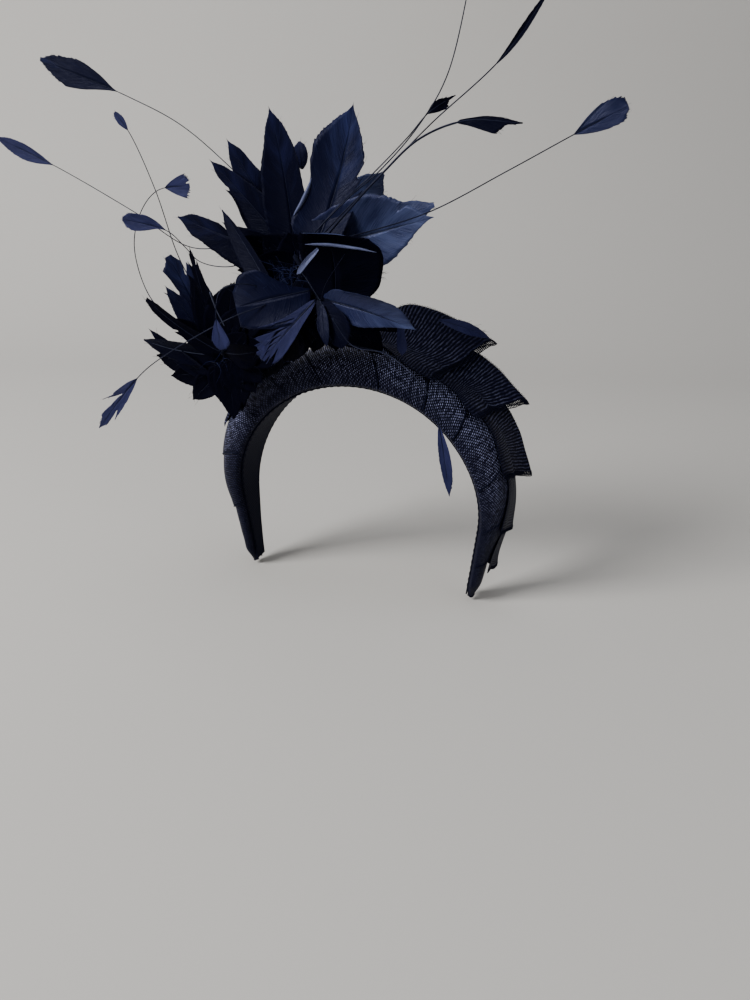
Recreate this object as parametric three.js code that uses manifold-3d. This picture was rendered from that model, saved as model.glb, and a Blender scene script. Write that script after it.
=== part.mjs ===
// Feather fascinator headpiece: a padded halo headband wound with strips of woven straw braid, a row of
// folded braid loops behind one side, two feather flowers on wired stalks at the other, and sprays of
// stripped quills.
// Millimetres. The origin is where the crown of the head touches the lining, +Z is up as worn, the wearer looks
// along -Y, and +X is the wearer's left.
import * as THREE from "three";
import { mergeVertices } from "three/addons/utils/BufferGeometryUtils.js";
import Module from "manifold-3d";

const wasm = await Module();
wasm.setup();

// ---- Driving dimensions -----------------------------------------------------------------------------
const GAP = 0.3; // between neighbouring pieces
const BAND = {
  halfWidth: 75, // of the head opening at its widest
  archHeight: 73, // from the widest level up to the crown
  pastSide: 6, // degrees that the arch turns in below the widest level
  armLength: 45, // straight flat stretch down to each tip
};
const LINING = { thickness: 0.8, inset: 1 };
const CORE = { width: 8, thickness: 1.2 };
const PAD = { crownWidth: 38, tipWidth: 13, crownHeight: 19, tipHeight: 5, taperFrom: 0.38, shortOfTip: 9 };
const WRAP = { thickness: 0.9, tuckedOffset: 0.4, freeOffset: 2.2, tuck: 6, over: 1.5, lip: 4 };
const LOOP = { wall: 1, gap: 0.6, mouth: 5.5, start: 3.4 };
const PETAL = { thickness: 0.8, rootGap: 4.4, rootShare: 0.3 };
const QUILL = { radius: 0.6, leafThickness: 0.8, sides: 6 };
const BINDING = { radius: 3.4, length: 7 };
const STALK = { wireRadius: 1.6, boundRadius: 3, footRadius: 6, footThickness: 1.2 };

// ---- Small helpers ----------------------------------------------------------------------------------
const vec = (x, y, z) => new THREE.Vector3(x, y, z);
const lerp = THREE.MathUtils.lerp;
const smoothstep = THREE.MathUtils.smoothstep;
const radians = THREE.MathUtils.degToRad;
const steps = (n) => Array.from({ length: n + 1 }, (_, i) => i / n);

// A closed geometry from points and triangles, with its faces turned outwards.
function closedGeometry(points, triangles) {
  let volume = 0;
  for (const [a, b, c] of triangles) volume += points[a].dot(points[b].clone().cross(points[c]));
  const turned = volume < 0 ? triangles.map(([a, b, c]) => [a, c, b]) : triangles;
  const geometry = new THREE.BufferGeometry();
  geometry.setAttribute("position", new THREE.Float32BufferAttribute(points.flatMap((p) => p.toArray()), 3));
  geometry.setIndex(turned.flat());
  geometry.computeVertexNormals();
  return geometry;
}

// The two triangles of a grid's square, whose corners are given as point numbers.
const square = (a, b, c, d) => [
  [a, b, c],
  [a, c, d],
];

// A solid between two open grids of points that share their rows and columns.
function slab(top, bottom) {
  const rows = top.length;
  const columns = top[0].length;
  const points = [...top.flat(), ...bottom.flat()];
  const at = (side, i, j) => side * rows * columns + i * columns + j;
  const triangles = [];
  for (let i = 0; i + 1 < rows; i++)
    for (let j = 0; j + 1 < columns; j++) {
      triangles.push(...square(at(0, i, j), at(0, i + 1, j), at(0, i + 1, j + 1), at(0, i, j + 1)));
      triangles.push(...square(at(1, i, j), at(1, i, j + 1), at(1, i + 1, j + 1), at(1, i + 1, j)));
    }
  const rim = [];
  for (let j = 0; j + 1 < columns; j++) rim.push([0, j]);
  for (let i = 0; i + 1 < rows; i++) rim.push([i, columns - 1]);
  for (let j = columns - 1; j > 0; j--) rim.push([rows - 1, j]);
  for (let i = rows - 1; i > 0; i--) rim.push([i, 0]);
  rim.forEach(([i, j], k) => {
    const [m, n] = rim[(k + 1) % rim.length];
    triangles.push(...square(at(0, i, j), at(0, m, n), at(1, m, n), at(1, i, j)));
  });
  return closedGeometry(points, triangles);
}

// The faces between a stack of rings with the same number of points.
function tubeFaces(rings, first) {
  const n = rings[0].length;
  const triangles = [];
  for (let i = 0; i + 1 < rings.length; i++)
    for (let j = 0; j < n; j++) {
      const k = (j + 1) % n;
      const low = first + i * n;
      triangles.push(...square(low + j, low + k, low + n + k, low + n + j));
    }
  return triangles;
}

// A solid through a stack of convex rings, closed at both ends.
function loft(rings) {
  const n = rings[0].length;
  const last = (rings.length - 1) * n;
  const triangles = tubeFaces(rings, 0);
  for (let j = 1; j + 1 < n; j++) triangles.push([0, j + 1, j], [last, last + j, last + j + 1]);
  return closedGeometry(rings.flat(), triangles);
}

// A tube with a wall, open at both ends, between two stacks of rings.
function pipe(outer, inner) {
  const n = outer[0].length;
  const size = outer.length * n;
  const triangles = [
    ...tubeFaces(outer, 0),
    ...tubeFaces(inner, size).map(([a, b, c]) => [a, c, b]),
  ];
  for (const base of [0, size - n])
    for (let j = 0; j < n; j++) {
      const k = (j + 1) % n;
      const faces = square(base + j, size + base + j, size + base + k, base + k);
      triangles.push(...(base === 0 ? faces : faces.map(([a, b, c]) => [a, c, b])));
    }
  return closedGeometry([...outer.flat(), ...inner.flat()], triangles);
}

// manifold-3d solids, for joins and cuts.
function toSolid(geometry) {
  const bare = geometry.clone();
  for (const name of Object.keys(bare.attributes)) if (name !== "position") bare.deleteAttribute(name);
  const merged = mergeVertices(bare, 1e-3);
  return new wasm.Manifold(
    new wasm.Mesh({
      numProp: 3,
      vertProperties: merged.attributes.position.array,
      triVerts: new Uint32Array(merged.index.array),
    }),
  );
}

function toGeometry(solid) {
  const mesh = solid.getMesh();
  const geometry = new THREE.BufferGeometry();
  geometry.setAttribute("position", new THREE.BufferAttribute(mesh.vertProperties.slice(), 3));
  geometry.setIndex(new THREE.BufferAttribute(mesh.triVerts.slice(), 1));
  geometry.computeVertexNormals();
  return geometry;
}

const largestBody = (solid) => solid.decompose().reduce((a, b) => (b.volume() > a.volume() ? b : a));

// ---- The band's line --------------------------------------------------------------------------------
// The lining's inner line for one half: an elliptic arch from the crown to just past its widest level, then a
// straight arm. s is the length along it, positive towards the wearer's left.
const halfLine = (() => {
  const arch = steps(90 + BAND.pastSide).map((t) => {
    const angle = radians(t * (90 + BAND.pastSide));
    return vec(BAND.halfWidth * Math.sin(angle), 0, BAND.archHeight * (Math.cos(angle) - 1));
  });
  const end = arch.at(-1);
  const inwards = end.clone().sub(arch.at(-2)).normalize();
  return [...arch, end.clone().addScaledVector(inwards, BAND.armLength)];
})();
const lengths = halfLine.reduce(
  (sum, p, i) => [...sum, i ? sum[i - 1] + p.distanceTo(halfLine[i - 1]) : 0],
  [],
);
const HALF_LENGTH = lengths.at(-1);
const ARM_START = lengths.at(-2);

// The point of the band at length s, y across its width and h outwards from its inner line.
function onBand(s, y, h) {
  const distance = Math.min(Math.abs(s), HALF_LENGTH + WRAP.lip);
  let i = lengths.findIndex((l) => l > distance);
  if (i < 1) i = lengths.length - 1;
  const share = (distance - lengths[i - 1]) / (lengths[i] - lengths[i - 1]);
  const along = halfLine[i].clone().sub(halfLine[i - 1]);
  const point = halfLine[i - 1].clone().addScaledVector(along, share);
  const next = halfLine[Math.min(i + 1, lengths.length - 1)];
  const tangent = i === lengths.length - 1 ? along : next.clone().sub(halfLine[i - 1]);
  tangent.normalize();
  point.add(vec(-tangent.z, 0, tangent.x).multiplyScalar(h));
  return vec(Math.sign(s || 1) * point.x, y, point.z);
}

const taper = (s) => smoothstep(Math.abs(s) / HALF_LENGTH, PAD.taperFrom, 1);
const padFloor = LINING.thickness + CORE.thickness + 2 * GAP;
const padWidth = (s) => lerp(PAD.crownWidth, PAD.tipWidth, taper(s));
const padHeight = (s) => lerp(PAD.crownHeight, PAD.tipHeight, taper(s));
// Past the padding's end the covering closes over it like a beak.
const beak = (s) => 1 - 0.6 * smoothstep(Math.abs(s), HALF_LENGTH - PAD.shortOfTip, HALF_LENGTH + WRAP.lip);

// One point of the domed section, grown by an offset, for a share of the half turn from front to back.
function onDome(s, turn, offset) {
  const angle = Math.PI * turn;
  const round = (x) => Math.sign(x) * Math.abs(x) ** 0.8;
  const y = -(padWidth(s) / 2 + offset) * round(Math.cos(angle)) * beak(s);
  const h = padFloor + (padHeight(s) - padFloor + offset) * round(Math.sin(angle)) * beak(s);
  return onBand(s, y, h);
}

// ---- Headband ---------------------------------------------------------------------------------------
const archStations = () => {
  const curve = steps(22).map((t) => lerp(-ARM_START, ARM_START, t));
  return [-HALF_LENGTH, ...curve, HALF_LENGTH];
};

function strip(halfWidthAt, low, high) {
  return loft(
    archStations().map((s) => {
      const w = halfWidthAt(s);
      return [onBand(s, -w, low), onBand(s, w, low), onBand(s, w, high), onBand(s, -w, high)];
    }),
  );
}

function padding() {
  const arm = steps(3).map((t) => lerp(ARM_START, HALF_LENGTH - PAD.shortOfTip, t));
  const arch = archStations().slice(2, -2);
  const stations = [...arm.map((s) => -s).reverse(), ...arch, ...arm];
  return loft(stations.map((s) => steps(8).map((turn) => onDome(s, turn, 0))));
}

// A strip of braid wound over the padding. It starts tucked under the wrap nearer the crown, at nearS, and its free
// edge, at farS, lies over the next one.
function wrap(nearS, farS) {
  const side = Math.sign(farS || 1);
  const from = nearS - side * WRAP.tuck;
  const to = farS + side * WRAP.over;
  const grid = (grow) =>
    steps(3).map((t) => {
      const s = lerp(from, to, t);
      const offset = lerp(WRAP.tuckedOffset, WRAP.freeOffset, t) + grow;
      const edge = (y) => onBand(s, y * (padWidth(s) / 2 + offset) * beak(s), LINING.thickness + GAP);
      return [edge(-1), ...steps(9).map((turn) => onDome(s, turn, offset)), edge(1)];
    });
  return slab(grid(WRAP.thickness), grid(0));
}

// The wrap at the crown lies over both of its neighbours.
function crownWrap(leftS, rightS) {
  const grid = (grow) =>
    steps(4).map((t) => {
      const s = lerp(leftS - WRAP.over, rightS + WRAP.over, t);
      const offset = WRAP.freeOffset + grow;
      const edge = (y) => onBand(s, y * (padWidth(s) / 2 + offset), LINING.thickness + GAP);
      return [edge(-1), ...steps(9).map((turn) => onDome(s, turn, offset)), edge(1)];
    });
  return slab(grid(WRAP.thickness), grid(0));
}

// Seams between the wraps, as lengths along the band from the crown.
const CROWN_SEAMS = [-28, 1];
const LEFT_SEAMS = [1, 28, 50, 82, 110, 141, HALF_LENGTH + WRAP.lip - WRAP.over];
const RIGHT_SEAMS = [-28, -50, -74, -102, -132, -HALF_LENGTH - WRAP.lip + WRAP.over];

// ---- Braid loops ------------------------------------------------------------------------------------
// Each loop is a flattened tube of folded braid behind the band: s where it starts and ends, and how far its outer
// edge stands from the head at its start and at its open mouth.
const LOOPS = [
  { name: "loop_crown", from: 4, to: 45.5, startReach: 45, reach: 46, lean: 9 },
  { name: "loop_upper", from: 47.5, to: 70, startReach: 37, reach: 38.5, lean: 9 },
  { name: "loop_shoulder", from: 72, to: 99, startReach: 28, reach: 27, lean: 10 },
  { name: "loop_side", from: 101, to: 126, startReach: 18, reach: 18, lean: 10 },
  { name: "loop_lower", from: 128, to: 152, startReach: 15.5, reach: 13.5, lean: 10 },
];

function braidLoop({ from, to, startReach, reach, lean }) {
  const rings = (shrink) =>
    steps(3).map((t) => {
      const s = lerp(from, to, t);
      const overWraps = WRAP.freeOffset + WRAP.thickness + LOOP.gap;
      const foot = { y: padWidth(s) * 0.3, h: onDomeHeight(s, 0.3) + overWraps };
      const top = { y: foot.y + lean, h: lerp(startReach, reach, t) };
      const length = Math.hypot(top.y - foot.y, top.h - foot.h);
      const thickness = lerp(LOOP.start, LOOP.mouth, t) / 2 - shrink;
      const [dy, dh] = [(top.y - foot.y) / length, (top.h - foot.h) / length];
      const middle = { y: (foot.y + top.y) / 2, h: (foot.h + top.h) / 2 };
      return steps(12)
        .slice(1)
        .map((turn) => {
          const a = (length / 2 - shrink) * Math.cos(2 * Math.PI * turn);
          const b = thickness * Math.sin(2 * Math.PI * turn);
          return onBand(s, middle.y + a * dy + b * dh + thickness + shrink, middle.h + a * dh - b * dy);
        });
    });
  return pipe(rings(0), rings(LOOP.wall));
}

// Height of the dome's top at a share of its width behind the middle.
function onDomeHeight(s, share) {
  const rise = (1 - (2 * share) ** 2.5) ** (1 / 2.5);
  return padFloor + (padHeight(s) - padFloor) * rise;
}

// ---- Feathers ---------------------------------------------------------------------------------------
// Towards someone facing the wearer.
const FACING = vec(0, -1, 0);

// Half-width of a trimmed feather as a share of its widest, for a share u of its length.
function petalOutline(u, widest) {
  if (u < widest) {
    const rise = Math.sin((Math.PI / 2) * (u / widest)) ** 1.3;
    return PETAL.rootShare + (1 - PETAL.rootShare) * rise;
  }
  return 1 - ((u - widest) / (1 - widest)) ** 1.6 * 0.96;
}

// The axes of a blade whose face is turned to the front and rolled about its length.
function bladeAxes(root, tip, roll) {
  const along = tip.clone().sub(root).normalize();
  const face = FACING.clone().addScaledVector(along, -FACING.dot(along)).normalize();
  face.applyAxisAngle(along, radians(roll));
  return { along, face, side: along.clone().cross(face) };
}

// A petal from its root to its tip. bend moves its middle towards its face, and cup lifts its edges.
function petalGrid({ root, tip, width, roll = 0, bend = 0, cup = 4, widest = 0.6 }, lift, spread) {
  const { face, side } = bladeAxes(root, tip, roll);
  return steps(6).map((u) => {
    const half = (width / 2) * petalOutline(u, widest) + spread;
    return [-1, 0, 1].map((v) =>
      root
        .clone()
        .lerp(tip, u)
        .addScaledVector(face, bend * 4 * u * (1 - u) + cup * v * v * petalOutline(u, widest) + lift)
        .addScaledVector(side, v * half),
    );
  });
}

function petalSolid(petal, clearance = 0) {
  const half = PETAL.thickness / 2 + clearance;
  return slab(petalGrid(petal, half, clearance), petalGrid(petal, -half, clearance));
}

// A flower's petals start just off its bound stem, at a share of the stem's length, and each is trimmed clear of
// those before it.
function flower(prefix, stem, petals, taken) {
  return petals.map((p) => {
    const tip = vec(...p.tip);
    const from = stem.getPointAt(p.at);
    const root = from.clone().addScaledVector(tip.clone().sub(from).normalize(), PETAL.rootGap);
    const petal = { ...p, root, tip };
    let solid = toSolid(petalSolid(petal));
    for (const other of taken) solid = solid.subtract(other);
    taken.push(toSolid(petalSolid(petal, GAP)));
    return [`${prefix}_${p.name}`, toGeometry(largestBody(solid)), "feather"];
  });
}

// The thread-bound stems that the petals stand round, from the back of each flower to its front.
const curveThrough = (points) => new THREE.CatmullRomCurve3(points.map((p) => vec(...p)), false, "centripetal");
const LARGE_STEM = curveThrough([[-38, -8, 67], [-31, -26, 69], [-24, -42, 70], [-6, -54, 52]]);
const SMALL_STEM = curveThrough([[-85, -12, 4], [-78, -24, 12], [-67, -44, 19]]);

const LARGE_PETALS = [
  { name: "petal_right", at: 0.36, tip: [44, -36, 93], width: 36, roll: 22, bend: -3, cup: 2, widest: 0.55 },
  { name: "petal_top_broad", at: 0.28, tip: [1, -29, 140], width: 34, roll: 8, bend: -3, cup: 2 },
  { name: "petal_top", at: 0.2, tip: [-46, -22, 139], width: 26, roll: -8, bend: -2, cup: 2, widest: 0.5 },
  {
    name: "petal_top_left", at: 0.12, tip: [-84, -16, 115],
    width: 24, roll: 0, bend: -2, cup: 2, widest: 0.55,
  },
  { name: "petal_top_back", at: 0.04, tip: [-77, -9, 125], width: 22, roll: 0, bend: -1, cup: 1 },
  { name: "petal_upper_right", at: 0.06, tip: [11, -10, 110], width: 26, roll: 6, bend: -1, cup: 2 },
  { name: "petal_left_front", at: 0.34, tip: [-67, -30, 89], width: 20, roll: -10, bend: -2, cup: 2 },
  { name: "petal_left", at: 0.24, tip: [-99, -26, 87], width: 24, roll: -14, bend: 2, cup: 2, widest: 0.45 },
  { name: "petal_lower_left", at: 0.5, tip: [-47, -56, 35], width: 34, roll: 10, bend: 4, widest: 0.75 },
  {
    name: "petal_front_cup", at: 0.62, tip: [27, -62, 64],
    width: 31, roll: -14, bend: -4, cup: 3, widest: 0.6,
  },
  {
    name: "petal_front_right", at: 0.97, tip: [46, -60, 41],
    width: 19, roll: 22, bend: 4, cup: 2, widest: 0.5,
  },
  { name: "petal_front_down", at: 0.92, tip: [9, -58, 30], width: 20, roll: 0, bend: 2, cup: 2 },
  {
    name: "petal_front_split", at: 0.86, tip: [-36, -58, 20],
    width: 15, roll: 0, bend: 3, cup: 1, widest: 0.75,
  },
];

const SMALL_PETALS = [
  { name: "petal_front", at: 0.9, tip: [-44, -46, 22], width: 18, roll: 30, bend: 2, cup: 2 },
  { name: "petal_dark", at: 0.75, tip: [-113, -42, 44], width: 14, roll: -16, bend: 3, cup: 2 },
  { name: "petal_inner", at: 0.62, tip: [-60, -40, 56], width: 26, roll: 0, bend: 2, cup: 2, widest: 0.5 },
  { name: "petal_top", at: 0.5, tip: [-88, -36, 72], width: 18, roll: -16, bend: 1, cup: 2 },
  { name: "petal_low", at: 0.44, tip: [-121, -36, 20], width: 18, roll: -24, bend: 3, cup: 2 },
  { name: "petal_outer", at: 0.34, tip: [-110, -28, 50], width: 18, roll: 10, bend: -1, cup: 2 },
  { name: "petal_back", at: 0.18, tip: [-113, -20, 64], width: 26, roll: 4, bend: -2, cup: 2, widest: 0.72 },
  { name: "petal_lowest", at: 0.12, tip: [-124, -20, 8], width: 24, roll: 8, bend: -2, cup: 3 },
];

// ---- Quills -----------------------------------------------------------------------------------------
// A stripped quill with a trimmed leaf at its end: the points of its stem, the length and width of its leaf.
function quillSolid({ route, leaf, width, roll = 0 }) {
  const curve = curveThrough(route);
  const total = curve.getLength();
  const stemShare = 1 - leaf / total;
  const onStem = steps(8).map((t) => t * stemShare);
  const onLeaf = steps(4)
    .slice(1)
    .map((t) => lerp(stemShare, 1, t));
  const stations = [...onStem, ...onLeaf];
  return loft(
    stations.map((share) => {
      const point = curve.getPointAt(Math.min(share, 1));
      const tangent = curve.getTangentAt(Math.min(share, 1));
      const { face, side } = bladeAxes(point, point.clone().add(tangent), roll);
      const u = (share - stemShare) / (1 - stemShare);
      const half = u > 0 ? Math.max(QUILL.radius, (width / 2) * petalOutline(u, 0.55)) : QUILL.radius;
      const thick = u > 0 ? QUILL.leafThickness / 2 : QUILL.radius;
      return steps(QUILL.sides)
        .slice(1)
        .map((turn) =>
          point
            .clone()
            .addScaledVector(side, half * Math.cos(2 * Math.PI * turn))
            .addScaledVector(face, thick * Math.sin(2 * Math.PI * turn)),
        );
    }),
  );
}

const QUILLS = [
  // Left spray, behind the large flower.
  {
    name: "quill_left_high",
    route: [[-53, 6, 82], [-64, 5, 96], [-84, 4, 114], [-111, 2, 134], [-142, 0, 148], [-196, -2, 167]],
    leaf: 54,
    width: 14,
  },
  {
    name: "quill_left_long",
    route: [[-55, 3, 76], [-78, 4, 72], [-111, 4, 69], [-145, 2, 87], [-195, 0, 111], [-234, -3, 127]],
    leaf: 42,
    width: 10,
  },
  {
    name: "quill_left_short",
    route: [[-54, 0, 71], [-81, -3, 60], [-101, -4, 62], [-109, -6, 70], [-118, -8, 78], [-145, -12, 84]],
    leaf: 28,
    width: 9,
  },
  // Low quills, behind the small flower.
  {
    name: "quill_low_tall",
    route: [[-100, 8, 28], [-112, 9, 44], [-123, 9, 64], [-135, 9, 100], [-149, 9, 130], [-158, 9, 141]],
    leaf: 13,
    width: 8,
  },
  {
    name: "quill_low_curled",
    route: [
      [-100, 5, 23],
      [-124, 8, 24],
      [-146, 12, 36],
      [-157, 15, 65],
      [-152, 16, 85],
      [-139, 16, 99],
      [-114, 13, 103],
    ],
    leaf: 22,
    width: 17,
  },
  // Front quills, among the petals.
  {
    name: "quill_front_left",
    route: [
      [-34, -58, 48],
      [-49, -63, 42],
      [-70, -64, 31],
      [-85, -66, 22],
      [-101, -70, 10],
      [-128, -76, -22],
    ],
    leaf: 40,
    width: 12,
  },
  {
    name: "quill_front_curl",
    route: [[-36, -54, 56], [-46, -63, 58], [-54, -66, 55], [-56, -68, 49], [-56, -69, 40], [-53, -70, 26]],
    leaf: 15,
    width: 12,
  },
  {
    name: "quill_front_right",
    route: [
      [4, -64, 45],
      [15, -66, 33],
      [34, -74, 32],
      [50, -82, 25],
      [61, -88, 15],
      [66, -90, 2],
      [73, -94, -27],
    ],
    leaf: 30,
    width: 7,
  },
  // Right spray, in front of the right-hand petals.
  {
    name: "quill_right_tallest",
    route: [[-12, -45, 83], [4, -45, 98], [21, -44, 112], [38, -42, 131], [49, -39, 151], [58, -37, 196]],
    leaf: 26,
    width: 6,
  },
  {
    name: "quill_right_high",
    route: [[-9, -45, 81], [6, -47, 95], [23, -49, 110], [46, -54, 130], [78, -66, 154], [94, -72, 174]],
    leaf: 36,
    width: 5,
  },
  {
    name: "quill_right_small",
    route: [[-17, -42, 79], [0, -42, 96], [17, -41, 111], [32, -39, 126], [41, -38, 136], [53, -38, 143]],
    leaf: 14,
    width: 5,
  },
  {
    name: "quill_right_forked",
    route: [[-6, -49, 80], [9, -52, 95], [25, -55, 110], [42, -57, 124], [62, -58, 131], [87, -60, 130]],
    leaf: 27,
    width: 6,
  },
  {
    name: "quill_right_long",
    route: [[1, -54, 80], [16, -52, 84], [46, -48, 94], [80, -45, 112], [109, -43, 128], [128, -42, 138]],
    leaf: 24,
    width: 11,
  },
];

// ---- Stalks and bindings ----------------------------------------------------------------------------
// A tube with a round section along a curve.
function rod(path, radius, pieces) {
  const section = new THREE.Shape().absarc(0, 0, radius, 0, 2 * Math.PI);
  return toSolid(new THREE.ExtrudeGeometry(section, { extrudePath: path, steps: pieces, curveSegments: 4 }));
}

// A wired stalk: a foot sewn to the base, a bent wire, and the bound stem that carries the petals.
function stalkSolid(foot, normal, stem, clearance = 0) {
  const start = stem.getPointAt(0);
  const knee = foot.clone().addScaledVector(normal, foot.distanceTo(start) * 0.4);
  const wire = new THREE.CatmullRomCurve3([foot, knee, start, stem.getPointAt(0.15)]);
  const disc = new THREE.CylinderGeometry(STALK.footRadius, STALK.footRadius, STALK.footThickness, 16);
  disc.applyQuaternion(new THREE.Quaternion().setFromUnitVectors(vec(0, 1, 0), normal));
  disc.translate(...foot.toArray());
  const boundRadius = STALK.boundRadius + clearance;
  const end = new THREE.SphereGeometry(boundRadius, 10, 6).translate(...stem.getPointAt(1).toArray());
  const bound = rod(stem, boundRadius, 8).add(toSolid(end));
  return rod(wire, STALK.wireRadius + clearance, 8).add(bound).add(toSolid(disc));
}

// The thread-bound knot at a spray's root, a barrel along its quills.
function binding(centre, along, clearance = 0) {
  const profile = [
    [0, -0.5],
    [0.75, -0.5],
    [1, 0],
    [0.75, 0.5],
    [0, 0.5],
  ].map(([r, t]) => new THREE.Vector2(r * (BINDING.radius + clearance), t * (BINDING.length + 2 * clearance)));
  const barrel = new THREE.LatheGeometry(profile, 12);
  barrel.applyQuaternion(new THREE.Quaternion().setFromUnitVectors(vec(0, 1, 0), along.clone().normalize()));
  return barrel.translate(...centre.toArray());
}

// The stiffened plate under both flowers, shaped to the top of the wraps.
function flowerBase() {
  const offset = WRAP.freeOffset + WRAP.thickness + 2 * GAP;
  const grid = (grow) =>
    steps(5).map((t) => steps(4).map((turn) => onDome(lerp(-84, -34, t), lerp(0.3, 0.7, turn), offset + grow)));
  return slab(grid(1.2), grid(0));
}

// A stalk's foot on the base at length s, and the direction away from the head there.
function footAt(s) {
  const low = onDome(s, 0.5, 0);
  const high = onDome(s, 0.5, 1);
  const normal = high.clone().sub(low).normalize();
  const rise = WRAP.freeOffset + WRAP.thickness + 1.2 + 3 * GAP + STALK.footThickness / 2;
  return { foot: low.addScaledVector(normal, rise), normal };
}

// ---- Assembly ---------------------------------------------------------------------------------------
const materials = {
  lining: new THREE.MeshStandardMaterial({ color: 0x14161f, roughness: 0.75 }),
  core: new THREE.MeshStandardMaterial({ color: 0x8a8d92, roughness: 0.35, metalness: 0.9 }),
  padding: new THREE.MeshStandardMaterial({ color: 0x2b2d38, roughness: 0.95 }),
  braid: new THREE.MeshStandardMaterial({ color: 0x0e1124, roughness: 0.4 }),
  feather: new THREE.MeshStandardMaterial({ color: 0x121a36, roughness: 0.55 }),
  thread: new THREE.MeshStandardMaterial({ color: 0x0b0d18, roughness: 0.8 }),
};

const fascinator = new THREE.Group();
function add(name, geometry, material) {
  const mesh = new THREE.Mesh(geometry, materials[material]);
  mesh.name = name;
  fascinator.add(mesh);
}

const liningTop = LINING.thickness;
const coreLow = liningTop + GAP;
add("lining", strip((s) => padWidth(s) / 2 - LINING.inset, 0, liningTop), "lining");
add("core_strip", strip(() => CORE.width / 2, coreLow, coreLow + CORE.thickness), "core");
add("padding", padding(), "padding");

add("wrap_crown", crownWrap(...CROWN_SEAMS), "braid");
LEFT_SEAMS.slice(1).forEach((far, i) => add(`wrap_left_${i + 1}`, wrap(LEFT_SEAMS[i], far), "braid"));
RIGHT_SEAMS.slice(1).forEach((far, i) => add(`wrap_right_${i + 1}`, wrap(RIGHT_SEAMS[i], far), "braid"));
for (const loop of LOOPS) add(loop.name, braidLoop(loop), "braid");

add("flower_base", flowerBase(), "lining");
const STALKS = [
  { name: "large_flower_stalk", ...footAt(-46), stem: LARGE_STEM },
  { name: "small_flower_stalk", ...footAt(-72), stem: SMALL_STEM },
];
const SPRAYS = [
  { name: "left_spray_binding", centre: vec(-49, 3, 76), along: vec(-1, 0, 0.6) },
  { name: "low_spray_binding", centre: vec(-95, 6, 22), along: vec(-1, 0, 0.4) },
  { name: "right_spray_binding", centre: vec(-14, -46, 75), along: vec(0.8, 0, 1) },
];
const taken = [];
for (const { name, foot, normal, stem } of STALKS) {
  add(name, toGeometry(stalkSolid(foot, normal, stem)), "thread");
  taken.push(stalkSolid(foot, normal, stem, GAP));
}
for (const { name, centre, along } of SPRAYS) {
  add(name, binding(centre, along), "thread");
  taken.push(toSolid(binding(centre, along, GAP)));
}
for (const piece of flower("large", LARGE_STEM, LARGE_PETALS, taken)) add(...piece);
for (const piece of flower("small", SMALL_STEM, SMALL_PETALS, taken)) add(...piece);
for (const quill of QUILLS) add(quill.name, quillSolid(quill), "feather");

export default fascinator;
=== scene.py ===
"""Feather fascinator headpiece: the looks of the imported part, for Blender 4.5.

Lengths in the tables below are millimetres, in the part's own frame: the origin is where the crown of the
head touches the lining, +Z is up, the wearer looks along -Y and +X is the wearer's left.
"""

import bpy
import math
import random
from bisect import bisect_right
from mathutils import Matrix, Quaternion, Vector, noise


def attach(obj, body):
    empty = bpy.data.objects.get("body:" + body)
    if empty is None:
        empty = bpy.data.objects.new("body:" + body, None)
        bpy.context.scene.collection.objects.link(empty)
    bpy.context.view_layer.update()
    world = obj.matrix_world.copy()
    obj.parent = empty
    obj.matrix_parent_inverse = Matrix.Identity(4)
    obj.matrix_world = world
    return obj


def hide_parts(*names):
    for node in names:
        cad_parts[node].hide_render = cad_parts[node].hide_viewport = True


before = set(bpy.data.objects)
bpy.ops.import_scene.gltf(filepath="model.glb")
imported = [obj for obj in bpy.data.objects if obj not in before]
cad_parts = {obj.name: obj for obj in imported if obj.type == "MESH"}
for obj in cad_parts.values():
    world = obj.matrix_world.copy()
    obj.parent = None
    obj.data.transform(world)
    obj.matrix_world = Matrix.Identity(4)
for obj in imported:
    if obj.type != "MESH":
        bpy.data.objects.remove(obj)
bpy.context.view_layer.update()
MM = 0.001
TAU = 2 * math.pi

# ---- Small helpers -----------------------------------------------------------------------------------------


def lerp(a, b, t):
    return a + (b - a) * t


def smoothstep(x, low, high):
    t = min(max((x - low) / (high - low), 0.0), 1.0)
    return t * t * (3 - 2 * t)


def steps(n):
    return [i / n for i in range(n + 1)]


def hermite(a, slope_a, b, slope_b, t):
    """The cubic from a to b with the slopes given at its ends."""
    t2, t3 = t * t, t * t * t
    start = (2 * t3 - 3 * t2 + 1) * a + (t3 - 2 * t2 + t) * slope_a
    return start + (3 * t2 - 2 * t3) * b + (t3 - t2) * slope_b


def wander(x, y, z):
    """Smooth noise, from about -1 to 1."""
    return noise.noise(Vector((x, y, z)))


def grid_faces(rows, columns, wrap=False):
    """Quads of a grid of points; with wrap, each row closes on itself."""
    faces = []
    for i in range(rows - 1):
        for j in range(columns if wrap else columns - 1):
            k = (j + 1) % columns
            here, above = i * columns, (i + 1) * columns
            faces.append((here + j, here + k, above + k, above + j))
    return faces


def make_piece(name, points, faces, material, body="root", uvs=None, replaces=(), smooth=True):
    """A mesh object from points in millimetres, riding on a body."""
    mesh = bpy.data.meshes.new(name)
    mesh.from_pydata([tuple(p * MM for p in point) for point in points], [], faces)
    if uvs:
        layer = mesh.uv_layers.new(name="UVMap")
        for loop in mesh.loops:
            layer.data[loop.index].uv = uvs[loop.vertex_index]
    mesh.polygons.foreach_set("use_smooth", [smooth] * len(mesh.polygons))
    mesh.materials.append(material)
    piece = bpy.data.objects.new(name, mesh)
    bpy.context.scene.collection.objects.link(piece)
    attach(piece, body)
    if replaces:
        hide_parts(*replaces)
    return piece


def lengths_along(points):
    lengths = [0.0]
    for a, b in zip(points, points[1:]):
        lengths.append(lengths[-1] + (b - a).length)
    return lengths


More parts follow.
